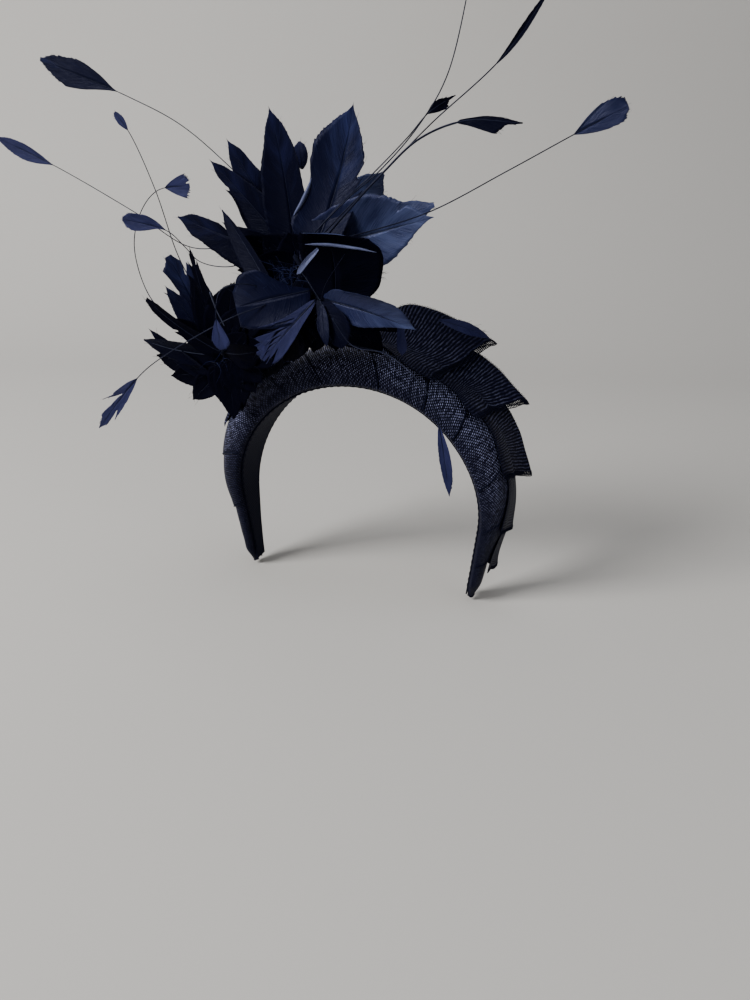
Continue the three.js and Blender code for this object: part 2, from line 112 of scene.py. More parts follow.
class Route:
    """A centripetal Catmull-Rom curve through points, read by share of its length."""

    def __init__(self, points, pieces=24):
        pts = [Vector(p) for p in points]
        pts = [pts[0] * 2 - pts[1], *pts, pts[-1] * 2 - pts[-2]]
        self.points = []
        for i in range(1, len(pts) - 2):
            for k in range(pieces):
                self.points.append(self.between(pts[i - 1 : i + 3], k / pieces))
        self.points.append(pts[-2].copy())
        self.lengths = lengths_along(self.points)
        self.length = self.lengths[-1]

    @staticmethod
    def between(p, t):
        gaps = [max((b - a).length ** 0.5, 1e-4) for a, b in zip(p, p[1:])]
        before, here, after = ((b - a) / gap for a, b, gap in zip(p, p[1:], gaps))
        m1 = (before - (p[2] - p[0]) / (gaps[0] + gaps[1]) + here) * gaps[1]
        m2 = (here - (p[3] - p[1]) / (gaps[1] + gaps[2]) + after) * gaps[1]
        return hermite(p[1], m1, p[2], m2, t)

    def at(self, share):
        distance = min(max(share, 0.0), 1.0) * self.length
        i = min(max(bisect_right(self.lengths, distance), 1), len(self.lengths) - 1)
        t = (distance - self.lengths[i - 1]) / (self.lengths[i] - self.lengths[i - 1])
        return self.points[i - 1].lerp(self.points[i], t)

    def tangent(self, share):
        return (self.at(share + 0.01) - self.at(share - 0.01)).normalized()


def tube(points, radius_at, sides=8):
    """Points, faces and UVs (millimetres along, round) of a tube that follows points, with closed ends."""
    count = len(points)
    normal = Vector((0.3, 0.2, 1)).cross(points[1] - points[0]).normalized()
    verts, uvs, along = [], [], 0.0
    for i, p in enumerate(points):
        tangent = (points[min(i + 1, count - 1)] - points[max(i - 1, 0)]).normalized()
        normal = (normal - tangent * normal.dot(tangent)).normalized()
        across = tangent.cross(normal)
        radius = radius_at(i / (count - 1))
        if i:
            along += (p - points[i - 1]).length
        for k in range(sides):
            a = TAU * k / sides
            verts.append(p + (normal * math.cos(a) + across * math.sin(a)) * radius)
            uvs.append((along, k / sides))
    faces = grid_faces(count, sides, wrap=True)
    for i, tip in ((0, points[0]), (count - 1, points[-1])):
        verts.append(tip)
        uvs.append((0, 0))
        ring = [i * sides + k for k in range(sides)]
        for k in range(sides):
            a, b = ring[k], ring[(k + 1) % sides]
            faces.append((len(verts) - 1, b, a) if i == 0 else (len(verts) - 1, a, b))
    return verts, faces, uvs


def joined(parts):
    """Several (points, faces, uvs) as one set."""
    verts, faces, uvs = [], [], []
    for v, f, u in parts:
        faces += [tuple(i + len(verts) for i in face) for face in f]
        verts += v
        uvs += u
    return verts, faces, uvs


def make_joined(name, parts, material, body="root", replaces=()):
    verts, faces, uvs = joined(parts)
    make_piece(name, verts, faces, material, body, uvs, replaces)


# ---- Materials ---------------------------------------------------------------------------------------------


class Nodes:
    """A material's node tree, built a node at a time."""

    def __init__(self, name):
        self.material = bpy.data.materials.new(name)
        self.material.use_nodes = True
        self.tree = self.material.node_tree
        self.tree.nodes.clear()
        self.out = self.tree.nodes.new("ShaderNodeOutputMaterial")
        self.shader = self.add("ShaderNodeBsdfPrincipled")
        self.link(self.shader, 0, self.out, 0)

    def add(self, kind, settings=None, **values):
        node = self.tree.nodes.new(kind)
        for key, value in (settings or {}).items():
            setattr(node, key, value)
        for key, value in values.items():
            node.inputs[key.replace("_", " ")].default_value = value
        return node

    def link(self, a, out, b, into):
        self.tree.links.new(a.outputs[out], b.inputs[into])

    def math(self, operation, a, b=None):
        node = self.tree.nodes.new("ShaderNodeMath")
        node.operation = operation
        for i, value in enumerate((a, b)):
            if isinstance(value, (int, float)):
                node.inputs[i].default_value = value
            elif value is not None:
                self.tree.links.new(value, node.inputs[i])
        return node.outputs[0]

    def times(self, a, b):
        return self.math("MULTIPLY", a, b)

    def plus(self, a, b):
        return self.math("ADD", a, b)

    def ramp(self, factor, stops):
        """A colour ramp; each stop has a place and a colour, or one value for a grey."""
        node = self.tree.nodes.new("ShaderNodeValToRGB")
        while len(node.color_ramp.elements) < len(stops):
            node.color_ramp.elements.new(0.5)
        for element, (place, colour) in zip(node.color_ramp.elements, stops):
            element.position = place
            element.color = (*colour, 1) if len(colour) == 3 else (colour[0],) * 3 + (1,)
        self.tree.links.new(factor, node.inputs[0])
        return node.outputs[0]

    def uv(self, scale):
        """UV coordinates, which hold millimetres, times a scale for each."""
        node = self.add("ShaderNodeMapping", Scale=(*scale, 1))
        self.link(self.add("ShaderNodeUVMap", {"uv_map": "UVMap"}), 0, node, 0)
        return node.outputs[0]

    def uv_parts(self):
        node = self.add("ShaderNodeSeparateXYZ")
        self.tree.links.new(self.uv((1, 1)), node.inputs[0])
        return node.outputs[0], node.outputs[1]

    def noise(self, scales, detail=2.0):
        """Noise over the UVs, stretched by a scale for each."""
        node = self.add("ShaderNodeTexNoise", Scale=1.0, Detail=detail)
        self.tree.links.new(self.uv(scales), node.inputs["Vector"])
        return node.outputs[0]

    def mixed(self, factor, a, b):
        """A blend of two colours, each a tuple or a socket, by a socket."""
        node = self.tree.nodes.new("ShaderNodeMix")
        node.data_type = "RGBA"
        sockets = [s for s in node.inputs if s.type == "RGBA"]
        for socket, value in zip(sockets, (a, b)):
            if isinstance(value, tuple):
                socket.default_value = (*value, 1)
            else:
                self.tree.links.new(value, socket)
        self.tree.links.new(factor, node.inputs[0])
        return [s for s in node.outputs if s.type == "RGBA"][0]

    def finish(self, colour, roughness, height=None, strength=0.3, distance=0.0004, **constants):
        self.tree.links.new(colour, self.shader.inputs["Base Color"])
        if isinstance(roughness, (int, float)):
            self.shader.inputs["Roughness"].default_value = roughness
        else:
            self.tree.links.new(roughness, self.shader.inputs["Roughness"])
        if height is not None:
            bump = self.add("ShaderNodeBump", Strength=strength, Distance=distance)
            self.tree.links.new(height, bump.inputs["Height"])
            self.link(bump, 0, self.shader, "Normal")
        for key, value in constants.items():
            self.shader.inputs[key.replace("_", " ")].default_value = value
        return self.material


WEB_OFFSET = 200
COOL = (0.55, 0.60, 1.0, 1)
COOL_SHEEN = (0.5, 0.6, 1.0, 1)


def feather_material(name, dark, light, roughness=0.44, sheen=0.04, gloss=0.12, shade=0):
    """A dyed feather, with painted shade that darkens it towards its root over shade millimetres, where the
    heart of the flower shades it.

    Its UVs run along the barbs and along the shaft. Along the shaft, each web's are shifted by WEB_OFFSET.
    """
    n = Nodes(name)
    streaks = n.noise((0.10, 2.4))
    broad = n.noise((0.035, 0.10))
    share = n.plus(n.times(streaks, 0.55), n.times(broad, 0.6))
    # Painted shade: the colour darkens towards the root, standing in for the shade in the heart of the flower.
    if shade:
        along = n.math("MODULO", n.plus(n.uv_parts()[1], WEB_OFFSET), 2 * WEB_OFFSET)
        depth = n.ramp(n.times(along, 1 / shade), [(0.28, (0.52,)), (0.95, (1.0,))])
        share = n.times(share, depth)
    colour = n.ramp(share, [(0.34, dark), (0.70, light)])
    rough = n.ramp(streaks, [(0.3, (roughness - 0.08,)), (0.7, (roughness + 0.10,))])
    return n.finish(
        colour, rough, height=streaks, strength=0.55, distance=0.0005,
        Sheen_Weight=sheen, Sheen_Roughness=0.35, Sheen_Tint=(0.45, 0.60, 1.0, 1), Specular_IOR_Level=gloss,
        Specular_Tint=(0.62, 0.66, 1.0, 1),
    )


# The UV length of the braid's way over the dome, from its front edge to its back edge.
BRAID_ROUND = 60
# Painted glint: a bright colour mixed into the braid where light would glance off its yarns.
PAINTED_GLINT = (0.310, 0.330, 0.560)


def braid_material(name, dark, light, pitch, gloss, sparkle=0.9, ribs=0.55):
    """Woven straw braid, with painted glints in its colour. Its UVs run across the fine yarns and along them,
    in millimetres.

    ribs is the share of the weave that is the straight yarns; the rest is the dashes that cross them.
    """
    n = Nodes(name)
    across, along = n.uv_parts()
    wobble = n.noise((0.22, 0.22))
    place = n.times(n.plus(across, wobble), 1 / pitch)
    yarn = n.math("SINE", n.times(place, TAU))
    column = n.times(n.math("FLOOR", n.plus(place, 0.25)), math.pi)
    dash = n.math("SINE", n.plus(n.times(along, TAU / (pitch * 1.5)), column))
    weave = n.plus(n.times(yarn, ribs), n.times(dash, 1 - ribs))
    level = n.times(n.plus(weave, 1.0), 0.5)
    fine = n.noise((1.3, 0.5))
    # Painted highlight and shade: the colour is lighter on the weave's crests and darker in its hollows.
    colour = n.ramp(n.times(level, n.plus(fine, 0.45)), [(0.15, dark), (0.9, light)])
    # Painted glints: bright specks painted into the colour on the weave's crests, most on the front of the
    # dome, where the light falls, and few on the arms.
    painted_glint = n.ramp(n.noise((0.75, 0.30), 3.0), [(0.39, (0.05,)), (0.61, (1.0,))])
    crest = n.ramp(level, [(0.57, (0.0,)), (0.82, (1.0,))])
    front = n.ramp(
        n.times(along, 1 / BRAID_ROUND), [(0.04, (0.3,)), (0.16, (1.0,)), (0.50, (1.0,)), (0.75, (0.25,))])
    arms = n.ramp(n.times(n.math("ABSOLUTE", across), 1 / 170), [(0.50, (1.0,)), (0.66, (0.3,))])
    share = n.times(n.times(painted_glint, crest), n.times(front, sparkle))
    colour = n.mixed(n.times(share, arms), colour, PAINTED_GLINT)
    rough = n.ramp(level, [(0.2, (0.70,)), (0.85, (gloss,))])
    return n.finish(
        colour, rough, height=level, strength=0.8, distance=0.0005,
        Specular_IOR_Level=0.10, Specular_Tint=COOL,
    )


def thread_material(name, dark, light, pitch):
    """Thread or ribbon: UVs run across its ribs, in millimetres."""
    n = Nodes(name)
    ribs = n.math("SINE", n.times(n.uv_parts()[0], TAU / pitch))
    level = n.times(n.plus(ribs, 1.0), 0.5)
    fuzz = n.noise((2.0, 3.0))
    share = n.plus(n.times(level, 0.6), n.times(fuzz, 0.4))
    colour = n.ramp(share, [(0.2, dark), (0.8, light)])
    return n.finish(
        colour, 0.7, height=level, strength=0.7, distance=0.0004,
        Sheen_Weight=0.02, Sheen_Roughness=0.5, Sheen_Tint=COOL_SHEEN, Specular_IOR_Level=0.06,
        Specular_Tint=COOL,
    )


FEATHER = {
    "navy": feather_material(
        "feather_navy", (0.0009, 0.0011, 0.0065), (0.0068, 0.0082, 0.0380), 0.46, 0.03, 0.05, shade=80),
    "steel": feather_material(
        "feather_steel", (0.0016, 0.0021, 0.0120), (0.0150, 0.0200, 0.0720), 0.38, 0.04, 0.08, shade=85),
    # This kind is glossy, and its base colour is also painted lighter: a painted highlight for the feathers
    # that face the light.
    "satin": feather_material(
        "feather_glossy_lit", (0.0080, 0.0105, 0.0400), (0.0520, 0.0680, 0.1600), 0.32, 0.06, 0.22, shade=50),
    "black": feather_material(
        "feather_black", (0.0002, 0.0002, 0.0014), (0.0010, 0.0011, 0.0050), 0.55, 0.0, 0.02),
    "blue": feather_material(
        "feather_blue", (0.0050, 0.0056, 0.0250), (0.0170, 0.0190, 0.0660), 0.45, 0.06, 0.12),
    # The pale kind is a light feather; on the lips it is a painted highlight on a lit rim.
    "pale": feather_material("feather_pale", (0.022, 0.026, 0.062), (0.074, 0.086, 0.165), 0.40, 0.1, 0.3),
}
SHAFT = feather_material("feather_shaft", (0.0012, 0.0016, 0.006), (0.006, 0.0075, 0.020), 0.4, 0.03)
PALE_SHAFT = feather_material("feather_shaft_pale", (0.020, 0.024, 0.045), (0.060, 0.068, 0.110), 0.4, 0.1)
BRAID = braid_material("straw_braid", (0.0002, 0.0002, 0.0014), (0.0034, 0.0036, 0.0180), 1.0, 0.26)
BRAID_SOFT = braid_material(
    "straw_braid_loops", (0.0012, 0.0013, 0.0060), (0.0058, 0.0063, 0.0230), 1.5, 0.5, 0.22, 0.85)
YARN = thread_material("braid_yarn", (0.0008, 0.0010, 0.0045), (0.007, 0.0085, 0.025), 0.9)
RIBBON = thread_material("grosgrain_ribbon", (0.0009, 0.0010, 0.0045), (0.0045, 0.0050, 0.0170), 1.0)
THREAD = thread_material("binding_thread", (0.0006, 0.0008, 0.003), (0.004, 0.0048, 0.012), 0.6)
WADDING = thread_material("padding_wadding", (0.02, 0.022, 0.03), (0.05, 0.054, 0.07), 2.3)


def steel_material():
    n = Nodes("spring_steel")
    grain = n.noise((0.4, 6.0))
    colour = n.ramp(grain, [(0.3, (0.36, 0.37, 0.38)), (0.7, (0.55, 0.56, 0.57))])
    return n.finish(colour, 0.35, height=grain, strength=0.2, Metallic=1.0)


# ---- The band's line, as in the CAD ------------------------------------------------------------------------

HALF_WIDTH = 75
ARCH_HEIGHT = 73
PAST_SIDE = 6
ARM_LENGTH = 45
LINING_THICKNESS = 0.8
PAD_FLOOR = 2.6
PAD_WIDTH = (38, 13)
PAD_HEIGHT = (19, 5)
TAPER_FROM = 0.38
SHORT_OF_TIP = 9
LIP = 4


def band_line():
    count = 180
    line = []
    for i in range(count + 1):
        angle = math.radians((90 + PAST_SIDE) * i / count)
        line.append(Vector((HALF_WIDTH * math.sin(angle), 0, ARCH_HEIGHT * (math.cos(angle) - 1))))
    inwards = (line[-1] - line[-2]).normalized()
    return [*line, line[-1] + inwards * ARM_LENGTH]


HALF_LINE = band_line()
LENGTHS = lengths_along(HALF_LINE)
HALF_LENGTH = LENGTHS[-1]


def on_band(s, y, h):
    """The point at length s along the band, y across it and h outwards from its inner line."""
    distance = abs(s)
    i = min(max(bisect_right(LENGTHS, distance), 1), len(LENGTHS) - 1)
    along = HALF_LINE[i] - HALF_LINE[i - 1]
    point = HALF_LINE[i - 1] + along * ((distance - LENGTHS[i - 1]) / (LENGTHS[i] - LENGTHS[i - 1]))
    on_arch = i < len(LENGTHS) - 2
    tangent = (HALF_LINE[i + 1] - HALF_LINE[i - 1] if on_arch else along).normalized()
    side = 1 if s >= 0 else -1
    out = Vector((-tangent.z, 0, tangent.x)) * h
    return Vector((side * (point.x + out.x), y, point.z + out.z))


def taper(s):
    return smoothstep(abs(s) / HALF_LENGTH, TAPER_FROM, 1)


def pad_width(s):
    return lerp(*PAD_WIDTH, taper(s))


def pad_height(s):
    return lerp(*PAD_HEIGHT, taper(s))


def beak(s):
    return 1 - 0.6 * smoothstep(abs(s), HALF_LENGTH - SHORT_OF_TIP, HALF_LENGTH + LIP)


def rounded(x):
    return math.copysign(abs(x) ** 0.8, x)


def dome_section(s, turn, offset):
    """y and h on the domed section, grown by an offset, for a share of the half turn from front to back."""
    angle = math.pi * turn
    y = -(pad_width(s) / 2 + offset) * rounded(math.cos(angle)) * beak(s)
    h = PAD_FLOOR + (pad_height(s) - PAD_FLOOR + offset) * rounded(math.sin(angle)) * beak(s)
    return y, h


def on_dome(s, turn, offset):
    return on_band(s, *dome_section(s, turn, offset))


# ---- Headband ----------------------------------------------------------------------------------------------


def ribbon_piece(name, half_width_at, low, high, material, replaces, ripple=0.0):
    """A flat strip that follows the band, with its four faces."""
    stations = [lerp(-HALF_LENGTH, HALF_LENGTH, t) for t in steps(220)]
    verts, uvs = [], []
    for s in stations:
        w = half_width_at(s)
        lift = ripple * wander(s * 0.08, 3, 0)
        for y, h in ((-w, low), (0, low), (w, low), (w, high), (0, high), (-w, high)):
            verts.append(on_band(s, y + (lift if abs(y) > 0 else 0), h))
            uvs.append((s, y))
    faces = grid_faces(len(stations), 6, wrap=True)
    faces += [tuple(range(5, -1, -1)), tuple(len(verts) - 6 + k for k in range(6))]
    make_piece(name, verts, faces, material, uvs=uvs, replaces=replaces, smooth=False)


def padding_piece():
    stations = [lerp(-HALF_LENGTH + SHORT_OF_TIP, HALF_LENGTH - SHORT_OF_TIP, t) for t in steps(160)]
    turns = steps(20)
    verts, uvs = [], []
    for s in stations:
        for turn in turns:
            soft = 0.15 * wander(s * 0.1, turn * 4, 7)
            verts.append(on_dome(s, turn, soft - 0.1))
            uvs.append((s, turn * 40))
    n = len(turns)
    faces = grid_faces(len(stations), n, wrap=True)
    faces += [tuple(range(n - 1, -1, -1)), tuple(len(verts) - n + k for k in range(n))]
    pad = make_piece("padding_form", verts, faces, WADDING, uvs=uvs, replaces=["padding"])


SEAM_SKEW = 24.0
SKEW_FADE = 70.0
WRAP_TUCK = 6.0
WRAP_OVER = 1.5
WRAP_OFFSETS = (1.3, 2.5)
# How far in from the band's edges the braid's turned-in rows lie, and what a strip's cut width has to spare.
SEAM_INSETS = (4.0, 1.6)


def wrap_piece(name, near, far, seed, both_free=False):
    """A braid strip over the padding: tucked under its neighbour at near, its folded edge free at far."""
    side = 1 if far >= near else -1
    phase = random.Random(seed).uniform(0, 10)
    start = near - side * (WRAP_OVER if both_free else WRAP_TUCK)
    end = far + side * WRAP_OVER
    rows = 30
    turns = 44

    def offset_at(t):
        if both_free:
            return WRAP_OFFSETS[1]
        return lerp(*WRAP_OFFSETS, smoothstep(t, 0.0, 0.55) * 0.75 + 0.25 * t)

    def point(t, turn, drop=0.0):
        s = lerp(start, end, t)
        s += SEAM_SKEW * (0.5 - turn) * smoothstep(HALF_LENGTH - abs(s), 0, SKEW_FADE)
        s = min(max(s, -HALF_LENGTH - 2), HALF_LENGTH + 2)
        puff = 0.35 * math.sin(math.pi * min(t * 1.15, 1.0))
        puff += 0.28 * wander(s * 0.11, turn * 3.2, phase)
        return s, offset_at(t) + puff - drop

    verts, uvs = [], []
    strip = [(t, 0.0) for t in steps(rows)]
    strip += [(1.004, 0.25), (1.0, 0.62), (0.97, 0.85), (0.85, 0.95)]
    if both_free:
        strip = [(0.15, 0.95), (0.03, 0.85), (0.0, 0.62), (-0.004, 0.25), *strip]

    def turned_in(t, turn, drop, inward):
        s, offset = point(t, turn, drop)
        edge = (pad_width(s) / 2 + offset) * beak(s) - inward * beak(s)
        height = LINING_THICKNESS + 0.15 + 0.05 * (SEAM_INSETS[0] - inward)
        return on_band(s, edge if turn else -edge, height)

    for t, drop in strip:
        within = min(max(t, 0), 1)
        u = lerp(start, end, within)
        for inward in SEAM_INSETS:
            verts.append(turned_in(within, 0, drop, inward))
            uvs.append((u, -inward))
        for turn in steps(turns):
            s, offset = point(within, turn, drop)
            verts.append(on_dome(s + side * (t - within) * abs(end - start), turn, offset))
            uvs.append((u, turn * BRAID_ROUND))
        for inward in reversed(SEAM_INSETS):
            verts.append(turned_in(within, 1, drop, inward))
            uvs.append((u, BRAID_ROUND + inward))
    faces = grid_faces(len(strip), turns + 1 + 2 * len(SEAM_INSETS))
    if side < 0:
        faces = [f[::-1] for f in faces]
    piece = make_piece(f"{name}_braid", verts, faces, BRAID, uvs=uvs, replaces=[name])
    # The folded edge's cord.
    parts = []
    for t in (1.0, 0.0) if both_free else (1.0,):
        line = []
        for turn in steps(46):
            s, offset = point(t, turn)
            line.append(on_dome(s + side * 0.1, turn, offset + 0.05))
        parts.append(tube(line, lambda _: 0.32, 6))
    make_joined(f"{name}_edge", parts, YARN)


CROWN_SEAMS = (-28, 1)
LEFT_SEAMS = [1, 28, 50, 82, 110, 141, HALF_LENGTH + LIP - WRAP_OVER]
STITCH_PITCH = 4.2
RIGHT_SEAMS = [-28, -50, -74, -102, -132, -HALF_LENGTH - LIP + WRAP_OVER]


def headband():
    ribbon_piece(
        "lining_ribbon", lambda s: pad_width(s) / 2 - 1, 0, LINING_THICKNESS, RIBBON, ["lining"], ripple=0.25)
    ribbon_piece("core_spring", lambda s: 4, 1.1, 2.3, steel_material(), ["core_strip"])
    padding_piece()
    wrap_piece("wrap_crown", *CROWN_SEAMS, seed=1, both_free=True)
    for way, seams, seed in (("left", LEFT_SEAMS, 10), ("right", RIGHT_SEAMS, 20)):
        for i, (near, far) in enumerate(zip(seams, seams[1:])):
            wrap_piece(f"wrap_{way}_{i + 1}", near, far, seed=seed + i)
    # Stitches that hold the lining's two edges.
    parts = []
    for side in (-1, 1):
        s = -HALF_LENGTH + 4
        while s < HALF_LENGTH - 4:
            y = side * (pad_width(s) / 2 - 2)
            line = [on_band(s + d, y, h) for d, h in ((-1.1, 0.1), (-0.8, -0.22), (0.8, -0.22), (1.1, 0.1))]
            parts.append(tube(line, lambda _: 0.18, 5))
            s += STITCH_PITCH
    make_joined("lining_stitches", parts, THREAD)


# ---- Braid loops -------------------------------------------------------------------------------------------

# Where each loop of braid starts and ends along the band, how far its outer fold reaches from the band's
# inner line, how far it leans back, and how much further along the band its fold is than its front edge.
LOOPS = [
    {"name": "loop_crown", "from": 4, "to": 45.5, "start_reach": 45, "reach": 46, "lean": 9, "slant": 10,
     "edge": (0.48, 0.26)},
    {"name": "loop_upper", "from": 47.5, "to": 70, "start_reach": 37, "reach": 38.5, "lean": 9, "slant": 9,
     "edge": (0.33, 0.27)},
    {"name": "loop_shoulder", "from": 72, "to": 99, "start_reach": 28, "reach": 27, "lean": 10, "slant": 7,
     "edge": (0.36, 0.30)},
    {"name": "loop_side", "from": 101, "to": 126, "start_reach": 18, "reach": 18, "lean": 10, "slant": 5,
     "edge": (0.38, 0.33)},
    {"name": "loop_lower", "from": 128, "to": 152, "start_reach": 15.5, "reach": 13.5, "lean": 10, "slant": 3,
     "edge": (0.42, 0.38)},
]
LOOP_TUCK = 14
LOOP_MOUTH = 5.5
LOOP_START = 2.2
RIM = 2.2
FOLD_COLUMN = 30


def dome_height(s, share):
    rise = (1 - (2 * share) ** 2.5) ** (1 / 2.5)
    return PAD_FLOOR + (pad_height(s) - PAD_FLOOR) * rise


def bezier(p, t):
    a, b, c, d = p
    r = 1 - t
    return tuple(r**3 * a[i] + 3 * r**2 * t * b[i] + 3 * r * t * t * c[i] + t**3 * d[i] for i in (0, 1))


def loop_profile(loop, s, t):
    """The strip's section at one place: over the dome, up to its outer fold and down behind.

    Each point is y, h and how far out it is, from 0 at the front edge to 1 at the fold.
    """
    offset = lerp(3.5, 4.9, max(t, 0))
    edge = lerp(*loop["edge"], smoothstep(t, 0, 0.9))
    foot = (pad_width(s) * 0.3, dome_height(s, 0.3) + 3.7)
    reach = lerp(loop["start_reach"], loop["reach"], max(t, 0)) - 3 * smoothstep(-t, 0, 0.6)
    if loop["name"] == "loop_crown":
        reach -= 20 * (1 - smoothstep(t, -0.25, 0.35)) ** 1.5
    top = (foot[0] + loop["lean"], reach)
    length = math.hypot(top[0] - foot[0], top[1] - foot[1])
    along = ((top[0] - foot[0]) / length, (top[1] - foot[1]) / length)
    across = (along[1], -along[0])
    radius = lerp(LOOP_START, LOOP_MOUTH, max(t, 0)) / 2
    centre = tuple(top[i] - along[i] * radius + across[i] * radius for i in (0, 1))
    points = []
    for k in steps(9):
        y, h = dome_section(s, lerp(edge, 0.52, k), offset)
        points.append((y, h, 0.25 * k))
    start = points[-1]
    front = tuple(centre[i] - across[i] * radius for i in (0, 1))
    under = (front[0] - along[0] * length * 0.55 - 0.8, front[1] - along[1] * length * 0.55 + 1.2)
    rise = (start, (start[0] + 3, start[1] + 0.4), under, front)
    for k in steps(16)[1:]:
        points.append((*bezier(rise, k), 0.25 + 0.65 * k))
    for k in steps(9)[1:]:
        a = math.pi * k
        c, d = radius * math.cos(a), radius * math.sin(a)
        y, h = (centre[i] - across[i] * c + along[i] * d for i in (0, 1))
        points.append((y, h, 0.9 + 0.1 * math.sin(a)))
    back_foot = dome_section(s, 0.74, offset)
    last = points[-1]
    below = (last[0] - along[0] * length * 0.4, last[1] - along[1] * length * 0.4)
    fall = (last, below, (back_foot[0] + 1, back_foot[1] + 3), back_foot)
    for k in steps(12)[1:]:
        points.append((*bezier(fall, k), 0.9 - 0.7 * k))
    return points


def loop_piece(loop, seed, first):
    rng = random.Random(seed)
    phase = rng.uniform(0, 20)
    rows = 34
    begin = -LOOP_TUCK / (loop["to"] - loop["from"])
    verts, uvs, count = [], [], 0

    def row(t, beyond=0.0):
        s = lerp(loop["from"], loop["to"], t)
        points, length, last = [], 0.0, None
        for y, h, out in loop_profile(loop, s, t):
            ripple = 0.8 * wander(s * 0.10, length * 0.07, phase) * (0.3 + 0.7 * out)
            end = 1.1 * wander(length * 0.12, phase, 2) * max(t, 0) ** 4
            flare = 1.3 * max(t, 0) ** 4 * out
            shift = loop["slant"] * (out - 1) * smoothstep(t, -0.2, 0.8) + end + beyond
            if last:
                length += math.hypot(y - last[0], h - last[1])
            last = (y, h)
            place = on_band(min(s + shift, HALF_LENGTH), y + ripple, h + flare + 0.4 * ripple)
            points.append((place, (s, length)))
        return points

    for t in steps(rows):
        points = row(lerp(begin, 1, t))
        count = len(points)
        verts += [p for p, _ in points]
        uvs += [uv for _, uv in points]
    faces = grid_faces(rows + 1, count)
    name = loop["name"]
    piece = make_piece(f"{name}_braid", verts, faces, BRAID_SOFT, uvs=uvs, replaces=[name])
    out_line = [verts[i * count + FOLD_COLUMN] for i in range(rows + 1)]
    in_line = [verts[i * count] for i in range(rows + 1)]
    # The open selvedge at the mouth: yarns that run on past the close weave, crossed by a zigzag and a cord.
    mouth = [p for p, _ in row(1)]
    rim = [p for p, _ in row(1, RIM)]
    parts = [tube(rim, lambda _: 0.27, 5), tube(mouth, lambda _: 0.2, 5)]
    spread = Route(mouth, 2), Route(rim, 2)
    number = int(spread[0].length / 1.0)
    zigzag = []
    for i in range(number):
        a, b = spread[0].at(i / number), spread[1].at((i + 0.25) / number)
        parts.append(tube([a, a.lerp(b, 0.5) + Vector((0.1, 0, 0.1)), b], lambda _: 0.23, 4))
        half_on = (i + 0.5) / number
        zigzag += [a.lerp(b, 0.35), spread[0].at(half_on).lerp(spread[1].at(half_on), 0.75)]
    parts.append(tube(zigzag, lambda _: 0.18, 4))
    # The corded front edge on the band, and tiny picots along the outer fold.
    parts.append(tube(in_line, lambda _: 0.2, 5))
    fold = Route(out_line[0 if first else int(rows * 0.34) :], 3)
    picots = int(fold.length / 1.5)
    for i in range(picots):
        a, b = fold.at(i / picots), fold.at((i + 0.8) / picots)
        out = (a - Vector((0, a.y, -ARCH_HEIGHT))).normalized()
        bow = rng.uniform(0.35, 0.8)
        picot = [a - out * 0.3, a + out * bow * 0.8, (a + b) / 2 + out * bow, b - out * 0.3]
        parts.append(tube(picot, lambda _: 0.14, 4))
    make_joined(f"{name}_selvedge", parts, YARN)


def braid_loops():
    for i, loop in enumerate(LOOPS):
        loop_piece(loop, 40 + i, i == 0)


# ---- Feathers ----------------------------------------------------------------------------------------------

FACING = Vector((0, -1, 0))


def blade_axes(root, tip, roll):
    along = (tip - root).normalized()
    face = (FACING - along * FACING.dot(along)).normalized()
    face = Quaternion(along, math.radians(roll)) @ face
    return along, face, along.cross(face)


def profile(widths, u):
    """A smooth curve through widths given at even shares of the length, read at a share."""
    x = min(max(u, 0.0), 1.0) * (len(widths) - 1)
    i = min(int(x), len(widths) - 2)
    t = x - i
    before, a, b, after = widths[max(i - 1, 0)], widths[i], widths[i + 1], widths[min(i + 2, len(widths) - 1)]
    m1 = (b - before) / 2 if (b - a) * (a - before) > 0 else 0
    m2 = (after - a) / 2 if (after - b) * (b - a) > 0 else 0
    return hermite(a, m1, b, m2, t)


BARB_BOW = math.radians(10)


